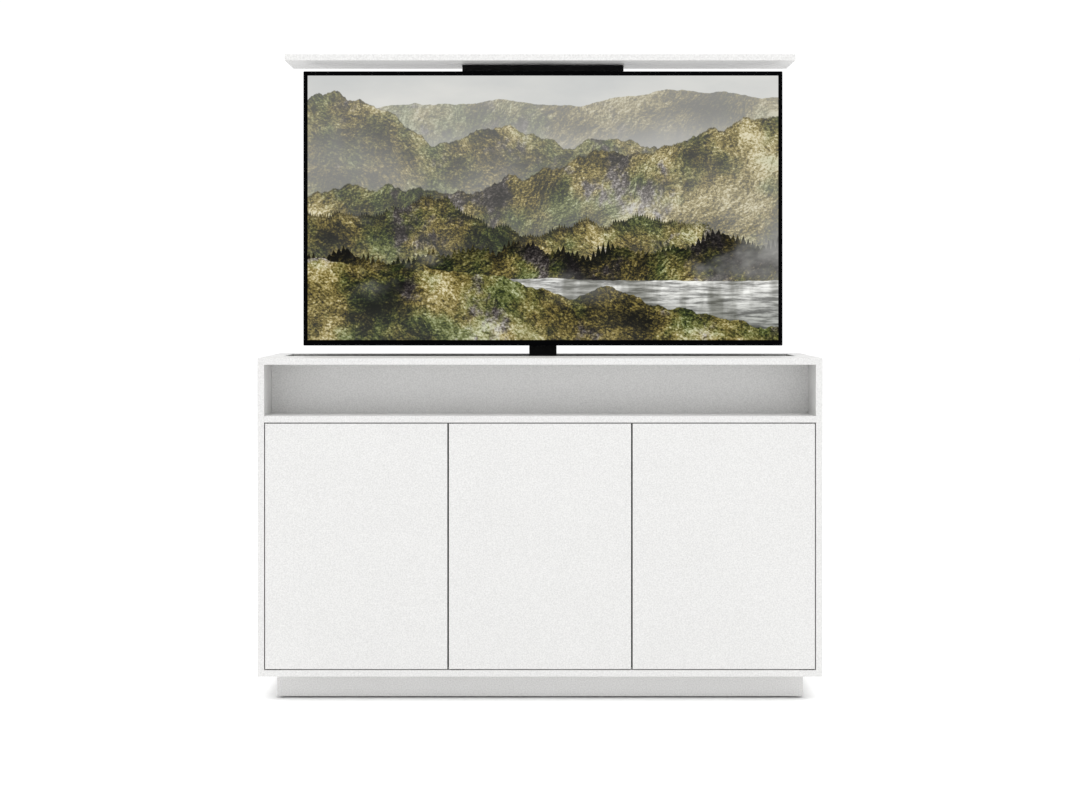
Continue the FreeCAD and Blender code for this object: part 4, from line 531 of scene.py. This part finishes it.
class Shape(Maker):
    """A Geometry Nodes tree being made. Its sizes are named inputs."""

    prefix = "GeometryNode"

    def __init__(self, name, **sizes):
        self.group = bpy.data.node_groups.new(name, "GeometryNodeTree")
        super().__init__(self.group)
        self.socket("Geometry", "INPUT", "NodeSocketGeometry")
        self.socket("Geometry", "OUTPUT", "NodeSocketGeometry")
        self.socket("Material", "INPUT", "NodeSocketMaterial")
        for size, value in sizes.items():
            kind = "NodeSocketInt" if isinstance(value, int) else "NodeSocketFloat"
            self.socket(size.replace("_", " "), "INPUT", kind).default_value = value
        self.given = self.nodes.new("NodeGroupInput")

    def socket(self, name, way, kind):
        """Adds an input or an output to the tree."""
        return self.group.interface.new_socket(name, in_out=way, socket_type=kind)

    def __getitem__(self, name):
        """The tree's input of this name."""
        return Value(self, self.given.outputs[name.replace("_", " ")])

    def pick(self, values):
        """At each point, the value in the point's own place in the list."""
        node = self.nodes.new("GeometryNodeIndexSwitch")
        node.data_type = "FLOAT"
        while len(node.index_switch_items) < len(values):
            node.index_switch_items.new()
        self.feed(node.inputs[0], self.add("InputIndex", {}))
        for number, value in enumerate(values):
            self.feed(node.inputs[number + 1], value)
        return Value(self, node.outputs[0])

    def lathe(self, stations, segments):
        """A shape turned about Z, from its (radius, height) stations, lowest first."""
        radii, heights = zip(*stations)
        line = self.add("MeshLine", {"Count": len(stations), "Offset": (0, 0, MM)})
        places = self.vector(0.0, 0.0, self.pick(heights))
        line = self.add("SetPosition", {0: line, "Position": places})
        circle = self.add("CurvePrimitiveCircle", {"Resolution": segments, "Radius": 1.0})
        values = {0: self.add("MeshToCurve", {0: line}), 1: circle, "Scale": self.pick(radii),
                  "Fill Caps": True}
        return self.add("CurveToMesh", values)

    def path(self, length):
        """A straight line of this length along Z, about the middle."""
        half = length * 0.5
        line = self.add("MeshLine", {"Count": 2, "Offset": (0, 0, MM)})
        ends = self.vector(0.0, 0.0, self.pick([half * -1.0, half]))
        return self.add("MeshToCurve", {0: self.add("SetPosition", {0: line, "Position": ends})})

    def slot_tool(self, width, length, depth):
        """A bar along Z with a round-ended section, its length along Y."""
        outline = self.add("CurvePrimitiveQuadrilateral", {"Width": width, "Height": length})
        values = {0: outline, "Count": 3, "Radius": width * 0.499}
        outline = self.add("FilletCurve", values, mode="POLY")
        return self.add("CurveToMesh", {0: self.path(depth), 1: outline, "Fill Caps": True})

    def block(self, width, depth, height, place=(0, 0, 0)):
        """A block with its middle at the place."""
        cube = self.add("MeshCube", {"Size": self.vector(width, depth, height)})
        return self.move(cube, place)

    def move(self, geometry, place=(0, 0, 0), turn=(0, 0, 0)):
        """The geometry turned about the middle, then moved."""
        return self.add("Transform", {0: geometry, "Translation": place, "Rotation": turn})

    def join(self, *geometries):
        """The geometries side by side in one."""
        return self.add("JoinGeometry", {0: list(geometries)})

    def cut(self, geometry, *tools):
        """The geometry less the tools."""
        values = {0: geometry, 1: list(tools)}
        return self.add("MeshBoolean", values, operation="DIFFERENCE", solver="MANIFOLD")

    def copies(self, shape, points, **values):
        """The shape at each point, unturned unless a rotation is given."""
        return self.add("InstanceOnPoints", {"Points": points, "Instance": shape, **values})

    def real(self, geometry):
        """The copies made one mesh."""
        return self.add("RealizeInstances", {0: geometry})

    def clamp(self, value):
        """The value, kept between 0 and 1."""
        return self.math("MINIMUM", self.math("MAXIMUM", value, 0.0), 1.0)

    def soften(self, geometry, angle=35):
        """Smooth shading, but for edges sharper than the angle."""
        smooth = self.add("SetShadeSmooth", {0: geometry, "Shade Smooth": True})
        sharp = self.math("GREATER_THAN", self.add("InputMeshEdgeAngle", {}), math.radians(angle))
        return self.add("SetShadeSmooth", {0: smooth, 1: sharp, "Shade Smooth": False}, domain="EDGE")

    def driven_in(self, shape, seed):
        """The shape at each of the tree's points, its Z along the point's aim and its turn random."""
        aim = self.add("InputNamedAttribute", {"Name": "aim"}, data_type="FLOAT_VECTOR")
        turn = self.add("FunctionNodeAlignRotationToVector", {"Vector": aim}, axis="Z")
        angle = self.random(0.0, math.pi, seed)
        spin = self.add("FunctionNodeAxisAngleToRotation", {"Axis": (0, 0, 1), "Angle": angle})
        turn = self.add("FunctionNodeRotateRotation", {0: turn, 1: spin}, rotation_space="LOCAL")
        return self.copies(shape, self["Geometry"], Rotation=turn)

    def random(self, low, high, seed):
        """A number of its own for each point."""
        return self.add("FunctionNodeRandomValue", {2: low, 3: high, "Seed": seed}, 1)

    def finish(self, geometry):
        """Closes the tree: whatever was repeated becomes one mesh in the given material."""
        made = self.add("SetMaterial", {0: self.real(geometry), "Material": self["Material"]})
        end = self.nodes.new("NodeGroupOutput")
        self.feed(end.inputs["Geometry"], made)
        return self.group


def added(name, data):
    """A new object in the scene."""
    thing = bpy.data.objects.new(name, data)
    bpy.context.scene.collection.objects.link(thing)
    return thing


def point_mesh(places, aims):
    """Loose points, each with its aim."""
    mesh = bpy.data.meshes.new("points")
    mesh.from_pydata([tuple(place) for place in places], [], [])
    aim = mesh.attributes.new("aim", "FLOAT_VECTOR", "POINT")
    for number, way in enumerate(aims):
        aim.data[number].vector = way
    return mesh


def grown(tree, mesh, slot, **sizes):
    """The mesh that the tree makes of the given one, in the slot's finish, with these sizes."""
    thing = added("growing", mesh)
    modifier = thing.modifiers.new("shape", "NODES")
    modifier.node_group = tree
    given = {size.replace("_", " "): value for size, value in sizes.items()}
    given["Material"] = FINISHES[slot]
    for socket in tree.interface.items_tree:
        if socket.in_out == "INPUT" and socket.name in given:
            modifier[socket.identifier] = given[socket.name]
    view = bpy.context.evaluated_depsgraph_get()
    made = bpy.data.meshes.new_from_object(thing.evaluated_get(view), depsgraph=view)
    thing.modifiers.remove(modifier)
    bpy.data.objects.remove(thing)
    made.materials.clear()
    made.materials.append(FINISHES[slot])
    for face in made.polygons:
        face.material_index = 0
    return made


def as_mesh(shape, name, finish=None):
    """The shape as a mesh, in the finish if one is given."""
    mesh = bpy.data.meshes.new(name)
    shape.to_mesh(mesh)
    shape.free()
    if finish:
        mesh.materials.append(FINISHES[finish])
    return mesh


def one_mesh(meshes):
    """The meshes joined into one, in the finish of the first."""
    joined = bmesh.new()
    for mesh in meshes:
        joined.from_mesh(mesh)
    whole = as_mesh(joined, "joined")
    whole.materials.append(meshes[0].materials[0])
    return whole


def piece(name, meshes, body, slot, *replaced):
    """A finished piece that rides on the body, in place of the CAD nodes named."""
    mesh = meshes[0] if len(meshes) == 1 else one_mesh(meshes)
    mesh.name = name
    thing = added(name, mesh)
    if replaced:
        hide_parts(*replaced)
    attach(thing, body)


def merged(node):
    """A copy of the node's mesh with its loose triangles joined up."""
    shape = bmesh.new()
    shape.from_mesh(nodes[node].data)
    bmesh.ops.remove_doubles(shape, verts=shape.verts, dist=0.001 * MM)
    return shape


def solids(node):
    """The node's separate solids, each as a list of its corners."""
    shape = merged(node)
    shape.verts.ensure_lookup_table()
    seen = set()
    found = []
    for start in shape.verts:
        if start.index in seen:
            continue
        seen.add(start.index)
        reached = [start]
        for vertex in reached:
            for edge in vertex.link_edges:
                other = edge.other_vert(vertex)
                if other.index not in seen:
                    seen.add(other.index)
                    reached.append(other)
        found.append([vertex.co.copy() for vertex in reached])
    shape.free()
    return found


def extent(corners):
    """The lowest and the highest corner of the box round a solid's corners."""
    return [Vector([end(corner[i] for corner in corners) for i in range(3)]) for end in (min, max)]


class Fastener:
    """Where one screw or bolt of a CAD node sits, and its sizes."""

    def __init__(self, corners):
        low, high = extent(corners)
        size = high - low
        along = max(range(3), key=lambda i: size[i])
        middle = (low + high) / 2

        def reach(corner):
            offset = corner - middle
            offset[along] = 0
            return offset.length

        self.length = size[along]
        self.radius = max(reach(corner) for corner in corners)
        rim = [corner[along] for corner in corners if reach(corner) > 0.97 * self.radius]
        self.way = Vector((0, 0, 0))
        self.way[along] = 1 if sum(rim) / len(rim) > middle[along] else -1
        self.place = middle + self.way * self.length / 2
        self.head = max(rim) - min(rim)
        face = middle[along] + self.way[along] * self.length / 2
        shank = [reach(corner) for corner in corners if abs(corner[along] - face) > self.length / 2]
        self.shank = max(shank)

    def sizes(self):
        """Its sizes in millimetres, the same for fasteners of one kind."""
        sizes = (self.radius, self.head, self.shank, self.length)
        return tuple(round(size / MM, 2) for size in sizes)


def screw_stations(shape, neck):
    """Ridges of a wood screw's thread from its tip up to the neck."""
    turns = 9
    core = shape["Shank radius"] * 0.72
    stations = [(0.2 * MM, -1.0 * shape["Length"])]
    pitch = (shape["Length"] - neck - 2 * MM) / turns
    for turn in range(turns):
        foot = -1.0 * shape["Length"] + 2 * MM + pitch * turn
        stations += [(core, foot), (shape["Shank radius"], foot + pitch * 0.5)]
    return stations + [(core, -1.0 * neck)]


def wood_screw():
    """A countersunk screw with a cross recess, its head's face at the point."""
    shape = Shape("wood screw", Head_radius=4 * MM, Shank_radius=2 * MM, Length=24 * MM, Seed=1)
    radius = shape["Head radius"]
    neck = radius * 0.75
    stations = screw_stations(shape, neck)
    stations += [(radius, radius * -0.12), (radius, radius * -0.03), (radius * 0.94, 0.0)]
    body = shape.lathe(stations, 16)
    arm = shape.block(radius * 1.2, radius * 0.24, radius * 0.9)
    cross = shape.move(arm, turn=(0, 0, math.pi / 2))
    centre = shape.lathe([(radius * 0.1, radius * -0.55), (radius * 0.34, 0.1 * MM)], 8)
    body = shape.soften(shape.cut(body, arm, cross, centre))
    return shape.finish(shape.driven_in(body, shape["Seed"]))


def socket_bolt():
    """A cap bolt with a hexagon socket, the face of its head at the point."""
    shape = Shape("socket bolt", Head_radius=5 * MM, Head_height=3 * MM, Shank_radius=3 * MM,
                  Length=20 * MM, Seed=1)
    radius = shape["Head radius"]
    head = shape["Head height"]
    ease = radius * 0.1
    stations = screw_stations(shape, head)
    stations += [(radius, -1.0 * head + 0.01 * MM), (radius, -1.0 * ease), (radius - ease, 0.0)]
    body = shape.lathe(stations, 24)
    tool = shape.add("MeshCylinder", {"Vertices": 6, "Radius": radius * 0.55, "Depth": head * 1.3})
    body = shape.soften(shape.cut(body, tool))
    return shape.finish(shape.driven_in(body, shape["Seed"]))


def fasten(name, node, body, slot):
    """Replaces a node's screws and bolts by finished ones of the same sizes."""
    kinds = {}
    for corners in solids(node):
        fastener = Fastener(corners)
        kinds.setdefault(fastener.sizes(), []).append(fastener)
    meshes = []
    for (radius, head, shank, length), group in sorted(kinds.items()):
        points = point_mesh([item.place for item in group], [item.way for item in group])
        sizes = {"Head_radius": radius * MM, "Shank_radius": shank * MM, "Length": length * MM}
        if head > 0.1 * radius:
            meshes.append(grown(SOCKET_BOLT, points, slot, Head_height=head * MM, **sizes))
        else:
            meshes.append(grown(WOOD_SCREW, points, slot, **sizes))
    piece(name, meshes, body, slot, node)


def vent_field():
    """Round-ended slots cut through a wall, in a field on each side of the middle."""
    shape = Shape("vent field", Columns=30, Rows=3, Pitch=9 * MM, Row_pitch=28 * MM,
                  Slot_width=3 * MM, Slot_length=22 * MM, Depth=8 * MM, Middle=0.0, Spread=0.385,
                  Field_Y=0.0, Field_Z=0.0, Lean=math.pi / 2)
    columns, rows = shape["Columns"], shape["Rows"]
    values = {"Size X": shape["Pitch"] * (columns - 1), "Size Y": shape["Row pitch"] * (rows - 1),
              "Vertices X": columns, "Vertices Y": rows}
    grid = shape.add("MeshGrid", values)
    tool = shape.slot_tool(shape["Slot width"], shape["Slot length"], shape["Depth"])
    slots = shape.real(shape.copies(tool, grid))
    lean = shape.vector(shape["Lean"], 0.0, 0.0)
    fields = []
    for side in (-1, 1):
        across = shape["Middle"] + shape["Spread"] * side
        place = shape.vector(across, shape["Field Y"], shape["Field Z"])
        fields.append(shape.move(slots, place, lean))
    return shape.finish(shape.soften(shape.cut(shape["Geometry"], *fields)))


def signal_port():
    """A plated socket shell with its tongue at each point, opening towards -X."""
    shape = Shape("signal port", Width=5.4 * MM, Height=15.4 * MM, Wall=0.5 * MM, Depth=13 * MM,
                  Tongue=1.2 * MM)
    width, height, depth = shape["Width"], shape["Height"], shape["Depth"]
    wall = shape["Wall"] * 2.0
    shell = shape.block(depth, width, height, shape.vector(depth * 0.5, 0.0, 0.0))
    room = shape.block(depth, width - wall, height - wall, shape.vector(depth * 0.5 - wall, 0.0, 0.0))
    inside = shape.vector(depth * 0.58, 0.0, 0.0)
    tongue = shape.block(depth * 0.8, shape["Tongue"], height * 0.7, inside)
    port = shape.join(shape.cut(shell, room), tongue)
    return shape.finish(shape.copies(port, shape["Geometry"]))


def cylinder_ribs():
    """Upright cooling ribs round a motor's can."""
    shape = Shape("cylinder ribs", Ribs=24, Radius=28 * MM, Rise=1.8 * MM, Thickness=1.6 * MM,
                  Length=0.1)
    rib = shape.slot_tool(shape["Thickness"], shape["Rise"] * 2.0, shape["Length"])
    ring = shape.add("MeshCircle", {"Vertices": shape["Ribs"], "Radius": shape["Radius"]})
    outward = {"Vector": shape.add("InputPosition", {})}
    way = shape.add("FunctionNodeAlignRotationToVector", outward, axis="Y", pivot_axis="Z")
    ribs = shape.real(shape.copies(rib, ring, Rotation=way))
    return shape.finish(shape.copies(ribs, shape["Geometry"]))


def fin_row():
    """A row of cooling fins along X on a flat top, the point at the middle of their foot."""
    shape = Shape("fin row", Fins=17, Pitch=9 * MM, Thickness=1.8 * MM, Height=4 * MM,
                  Length=50 * MM)
    fins = shape["Fins"]
    half = shape["Thickness"] * 0.5
    outline = [(0.0, 0.0), (1.0, 0.0), (1.0, 0.7), (0.7, 1.0), (0.3, 1.0), (0.0, 0.7)]
    face = shape.add("MeshCircle", {"Vertices": len(outline)}, fill_type="NGON")
    across = shape.pick([half * (part * 2.0 - 1.0) for part, _ in outline])
    up = shape.pick([shape["Height"] * part for _, part in outline])
    place = shape.vector(across, shape["Length"] * 0.5, up)
    face = shape.add("SetPosition", {0: face, "Position": place})
    values = {0: face, "Offset": (0, 1, 0), "Offset Scale": shape["Length"], "Individual": False}
    fin = shape.add("ExtrudeMesh", values)
    back = shape.add("FlipFaces", {0: face})
    fin = shape.add("MergeByDistance", {0: shape.join(fin, back), "Distance": 0.01 * MM})
    row = shape.add("MeshLine", {"Count": fins, "Offset": shape.vector(shape["Pitch"], 0.0, 0.0)})
    row = shape.move(row, shape.vector(shape["Pitch"] * (fins - 1) * -0.5, 0.0, 0.0))
    row = shape.real(shape.copies(fin, row))
    return shape.finish(shape.copies(row, shape["Geometry"]))


def threaded_rod(hollow):
    """An upright rod about the point, with a screw thread cut between two plain ends."""
    shape = Shape("threaded rod", Radius=6 * MM, Bore=1 * MM, Length=0.8, Lead=10 * MM, Starts=2,
                  Depth=0.9 * MM, Shoulder=0.16, Plain=40 * MM, Run_out=2 * MM, Steps=900)
    radius, length = shape["Radius"], shape["Length"]
    values = {"Vertices": 20, "Side Segments": shape["Steps"], "Radius": radius, "Depth": length}
    rod = shape.add("MeshCylinder", values)
    x, y, z = shape.parts(shape.add("InputPosition", {}))
    turn = shape.math("ARCTAN2", y, x) / (2 * math.pi)
    phase = shape.math("FRACT", (z / shape["Lead"] - turn) * shape["Starts"])
    shoulder = shape["Shoulder"]
    groove = shape.clamp((shape.math("ABSOLUTE", phase - 0.5) - shoulder) / shoulder)
    inside = length * 0.5 - shape["Plain"] - shape.math("ABSOLUTE", z)
    cut = shape.clamp(inside / shape["Run out"])
    share = 1.0 - groove * cut * shape["Depth"] / radius
    rod = shape.add("SetPosition", {0: rod, "Position": shape.vector(x * share, y * share, z)})
    if hollow:
        values = {"Vertices": 24, "Radius": shape["Bore"], "Depth": length * 1.1}
        rod = shape.cut(rod, shape.add("MeshCylinder", values))
    return shape.finish(shape.copies(shape.soften(rod), shape["Geometry"]))


def board_parts():
    """Small parts scattered over a board's rear face, clear of its big parts and its edges."""
    shape = Shape("board parts", Face=BOARD_REAR, Spacing=5.5 * MM, Clear=5 * MM, Density=40000.0,
                  Size=1 * MM, Seed=4)
    height = shape.parts(shape.add("InputPosition", {}))[1] - shape["Face"]
    facing = shape.parts(shape.add("InputNormal", {}))[1]
    low = shape.math("LESS_THAN", height, 0.1 * MM)
    card = shape.math("LESS_THAN", shape.math("ABSOLUTE", height), 0.1 * MM)
    face = card * shape.math("GREATER_THAN", facing, 0.9)
    flat = low * shape.math("GREATER_THAN", shape.math("ABSOLUTE", facing), 0.9)
    values = {0: shape["Geometry"], "Selection": face, "Distance Min": shape["Spacing"],
              "Density Max": shape["Density"], "Seed": shape["Seed"]}
    points = shape.add("DistributePointsOnFaces", values, distribute_method="POISSON")
    others = shape.add("DeleteGeometry", {0: shape["Geometry"], 1: flat}, domain="FACE")
    gap = shape.add("Proximity", {0: others}, 1, target_element="FACES")
    near = shape.math("LESS_THAN", gap, shape["Clear"])
    points = shape.add("DeleteGeometry", {0: points, 1: near}, domain="POINT")
    size = shape["Size"]
    chip = shape.block(size * 5.0, size * 1.2, size * 3.6, shape.vector(0.0, size * 0.6, 0.0))
    crumb = shape.block(size * 2.4, size * 0.8, size * 1.3, shape.vector(0.0, size * 0.4, 0.0))
    can = shape.lathe([(size * 1.4, 0.0), (size * 1.4, size * 3.2), (size * 1.1, size * 3.6)], 10)
    can = shape.move(can, turn=(-math.pi / 2, 0, 0))
    kinds = shape.join(*[shape.add("GeometryToInstance", {0: kind}) for kind in (chip, crumb, can)])
    quarter = shape.math("FLOOR", shape.random(0.0, 3.99, shape["Seed"])) * (math.pi / 2)
    kind = shape.math("FLOOR", shape.random(0.0, 2.99, shape["Seed"] + 1))
    values = {"Pick Instance": True, "Instance Index": kind,
              "Rotation": shape.vector(0.0, quarter, 0.0)}
    return shape.finish(shape.copies(kinds, points, **values))


WOOD_SCREW = wood_screw()
SOCKET_BOLT = socket_bolt()
VENT_FIELD = vent_field()
SIGNAL_PORT = signal_port()
CYLINDER_RIBS = cylinder_ribs()
FIN_ROW = fin_row()
SOLID_THREAD = threaded_rod(False)
HOLLOW_THREAD = threaded_rod(True)
BOARD_PARTS = board_parts()


def corners_of(node):
    """The lowest and the highest corner of the node's box."""
    return [Vector(corner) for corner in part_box(node)]


def planted(name, tree, places, body, slot, *replaced, **sizes):
    """A piece that the tree makes at the places, upright."""
    points = point_mesh(places, [(0, 0, 1)] * len(places))
    piece(name, [grown(tree, points, slot, **sizes)], body, slot, *replaced)


def threaded_spindle(name, node, tree, body, **sizes):
    """A lift spindle with its thread, in place of the plain one."""
    low, high = corners_of(node)
    planted(name, tree, [(low + high) / 2], body, "spindle_steel", node,
            Radius=(high.x - low.x) / 2, Length=high.z - low.z, **sizes)


def board_components():
    """Small parts on the television's circuit boards."""
    mesh = grown(BOARD_PARTS, as_mesh(merged("tv_boards"), "boards"), "black_plastic")
    piece("board_components", [mesh], "carriage", "black_plastic")


def round_over(shape, edges, ease):
    """Rounds the edges of the shape."""
    bmesh.ops.bevel(shape, geom=edges, offset=ease, segments=3, profile=0.5, affect="EDGES",
                    clamp_overlap=True)


def felt_bar(low, high, finish):
    """A bar of felt between two corners, its edges rounded over."""
    shape = bmesh.new()
    bmesh.ops.create_cube(shape, size=1.0)
    low, high = Vector(low), Vector(high)
    for vertex in shape.verts:
        vertex.co = (low + high) / 2 + Vector(a * b for a, b in zip(vertex.co, high - low))
    round_over(shape, shape.edges, FELT_EASE)
    return as_mesh(shape, "bar", finish)


def eased_panel(name, node, body, finish="white_lacquer"):
    """A lacquered panel with its long outside edges rounded over."""
    shape = merged(node)
    bmesh.ops.dissolve_limit(shape, angle_limit=0.002, verts=shape.verts, edges=shape.edges)
    edges = [edge for edge in shape.edges if edge.is_convex and edge.calc_face_angle() > 1.0
             and edge.calc_length() > SHORT_EDGE]
    round_over(shape, edges, PANEL_EASE)
    bmesh.ops.triangulate(shape, faces=shape.faces)
    piece(name, [as_mesh(shape, name, finish)], body, "white_lacquer", node)


def seam_shade_strips():
    """Black felt strips up the partitions' front edges, behind the seams between the doors: a dark
    sheet that paints shade into the seams.
    """
    bars = []
    for corners in solids("partitions"):
        low, high = extent(corners)
        middle = (low.x + high.x) / 2
        half = SEAM_SHADE_STRIP_WIDTH / 2
        foot, top = low.z + SEAM_SHADE_STRIP_END, high.z - SEAM_SHADE_STRIP_END
        bars.append(felt_bar((middle - half, low.y - FELT_THICKNESS, foot),
                             (middle + half, low.y, top), "felt"))
    piece("door_dust_strips", bars, "cabinet", "black_plastic")


def slot_lining():
    """Grey felt round the inside of the slot in the top, where the lid comes down."""
    low, high = corners_of("lid")
    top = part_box("top_panel")[1][2] - LINING_BELOW
    foot = top - LINING_HEIGHT
    wide, thick = LID_CLEARANCE, FELT_THICKNESS
    left, right, front, rear = low.x - wide, high.x + wide, low.y - wide, high.y + wide
    bars = [felt_bar((*near, foot), (*off, top), "grey_felt") for near, off in (
        ((left, front), (right, front + thick)),
        ((left, rear - thick), (right, rear)),
        ((left, front + thick), (left + thick, rear - thick)),
        ((right - thick, front + thick), (right, rear - thick)))]
    piece("slot_felt_lining", bars, "cabinet", "grey_plastic")


def rear_cover():
    """The television's electronics cover, with its air slots and the grilles under the speakers."""
    low, high = corners_of("tv_electronics_cover")
    mesh = as_mesh(merged("tv_electronics_cover"), "cover", "black_plastic")
    wall = high.y - COVER_WALL / 2
    air = {"Spread": 0.385, "Field_Y": wall, "Field_Z": high.z - 60 * MM}
    intake = {"Spread": 0.300, "Field_Y": wall, "Field_Z": low.z + 50 * MM, "Columns": 44, "Rows": 1}
    sound = {"Spread": 0.370, "Lean": 0.0, "Field_Y": (low.y + high.y) / 2,
             "Field_Z": low.z + COVER_WALL / 2, "Columns": 26, "Rows": 1, "Pitch": 6 * MM,
             "Slot_width": 2.4 * MM, "Slot_length": 12 * MM, "Depth": 6 * MM}
    for sizes in (air, intake, sound):
        mesh = grown(VENT_FIELD, mesh, "black_plastic", Middle=(low.x + high.x) / 2, **sizes)
    piece("tv_vented_cover", [mesh], "carriage", "black_plastic", "tv_electronics_cover")


def signal_ports():
    """The sockets for signal cords, one over the other in the cover's side."""
    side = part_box("tv_electronics_cover")[0][0] + PORT_SUNK
    foot = PORT_HEIGHT - (PORTS - 1) / 2 * PORT_PITCH
    row = [(side, PORT_BACK, foot + number * PORT_PITCH) for number in range(PORTS)]
    planted("tv_signal_ports", SIGNAL_PORT, row, "carriage", "zinc_steel")


def motor_ribs():
    """The cooling ribs round the lift's motor."""
    low, high = corners_of("lift_motor")
    planted("lift_motor_ribs", CYLINDER_RIBS, [(low + high) / 2], "cabinet", "black_steel")


def control_fins():
    """The cooling fins on top of the lift's control unit."""
    low, high = corners_of("lift_control_unit")
    top = (low + high) / 2
    top.z = high.z
    planted("control_unit_fins", FIN_ROW, [top], "cabinet", "black_plastic")


dress_nodes()
for name, node, body in (
        ("cabinet_wood_screws", "cabinet_screws", "cabinet"),
        ("lift_foot_bolts", "lift_base_bolts", "cabinet"),
        ("carriage_cap_bolts", "lift_carriage_bolts", "carriage"),
        ("lid_wood_screws", "lid_screws", "carriage"),
        ("rear_cover_screws", "tv_cover_screws", "carriage")):
    fasten(name, node, body, "zinc_steel")
rear_cover()
# Black felt behind the door seams paints shade into them.
seam_shade_strips()
slot_lining()
for side in SIDES:
    eased_panel("door_%s_panel" % side, "door_" + side, "door_" + side)
# The lid's lacquer darkens its underside: painted shade.
eased_panel("lid_panel", "lid", "carriage", "lid_lacquer")
signal_ports()
motor_ribs()
threaded_spindle("lower_spindle_thread", "lift_lower_spindle", SOLID_THREAD, "lower_spindle")
threaded_spindle("upper_spindle_thread", "lift_upper_spindle", HOLLOW_THREAD, "upper_spindle",
                 Bore=UPPER_BORE, Depth=UPPER_THREAD)
board_components()
control_fins()


def stage_floor():
    """A wide pale floor with a glow of its own that evens out its light; the glow is painted light,
    left out just before the cabinet as a painted contact shadow and raised beside it to lighten the
    cabinet's cast shadow.
    """
    mesh = bpy.data.meshes.new("studio_floor")
    half = FLOOR_SIZE / 2
    corners = [(-half, -half, 0), (half, -half, 0), (half, half, 0), (-half, half, 0)]
    mesh.from_pydata(corners, [], [(0, 1, 2, 3)])
    floor = added("studio_floor", mesh)
    finish = Finish("studio_floor")
    away = finish.add("VectorMath", {0: finish.place}, "Value", operation="LENGTH")
    across, along = (finish.math("ABSOLUTE", part) for part in finish.parts(finish.place)[:2])
    before, beside, far = FLOOR_GLOW
    # Painted contact shadow before the cabinet, and painted light beside it.
    before = finish.between(along, *FLOOR_PAINTED_SHADOW_SPAN, 0.0, before, True)
    near = finish.between(across, *FLOOR_SIDE, before, beside, True)
    glow = near + (far - near) * finish.between(away, FLOOR_NEAR, FLOOR_FAR, 0.0, 1.0, True)
    finish.set(Base_Color=(FLOOR_TONE,) * 3, Roughness=0.9, Emission_Color=(1.0, 1.0, 1.0),
               Emission_Strength=glow)
    mesh.materials.append(finish.material)


def camera():
    """A level camera in front, looking along +Y."""
    data = bpy.data.cameras.new("camera")
    data.lens = CAMERA_LENS
    data.shift_y = CAMERA_SHIFT
    data.clip_end = 200
    item = added("camera", data)
    item.location = CAMERA_PLACE
    item.rotation_euler = (math.radians(90), 0, 0)
    bpy.context.scene.camera = item


def lamp():
    """The soft lamp overhead."""
    data = bpy.data.lights.new("lamp", "AREA")
    data.shape = "RECTANGLE"
    data.size, data.size_y = LAMP_SIZE
    data.energy = LAMP_POWER
    item = added("lamp", data)
    item.location = LAMP_PLACE
    item.rotation_euler = (Vector(LAMP_AIM) - item.location).to_track_quat("-Z", "Y").to_euler()


def studio():
    """An even white room, its floor and its lamp."""
    world = bpy.data.worlds.new("studio")
    world.use_nodes = True
    room = Maker(world.node_tree)
    seen = room.add("LightPath", {}, "Is Camera Ray")
    sky = world.node_tree.nodes["Background"]
    room.feed(sky.inputs["Color"], (1.0, 1.0, 1.0))
    room.feed(sky.inputs["Strength"], seen * (ROOM_SEEN - ROOM_LIGHT) + ROOM_LIGHT)
    bpy.context.scene.world = world
    bpy.context.scene.view_settings.view_transform = "Standard"
    bpy.context.scene.view_settings.look = "None"
    stage_floor()
    lamp()


studio()
camera()
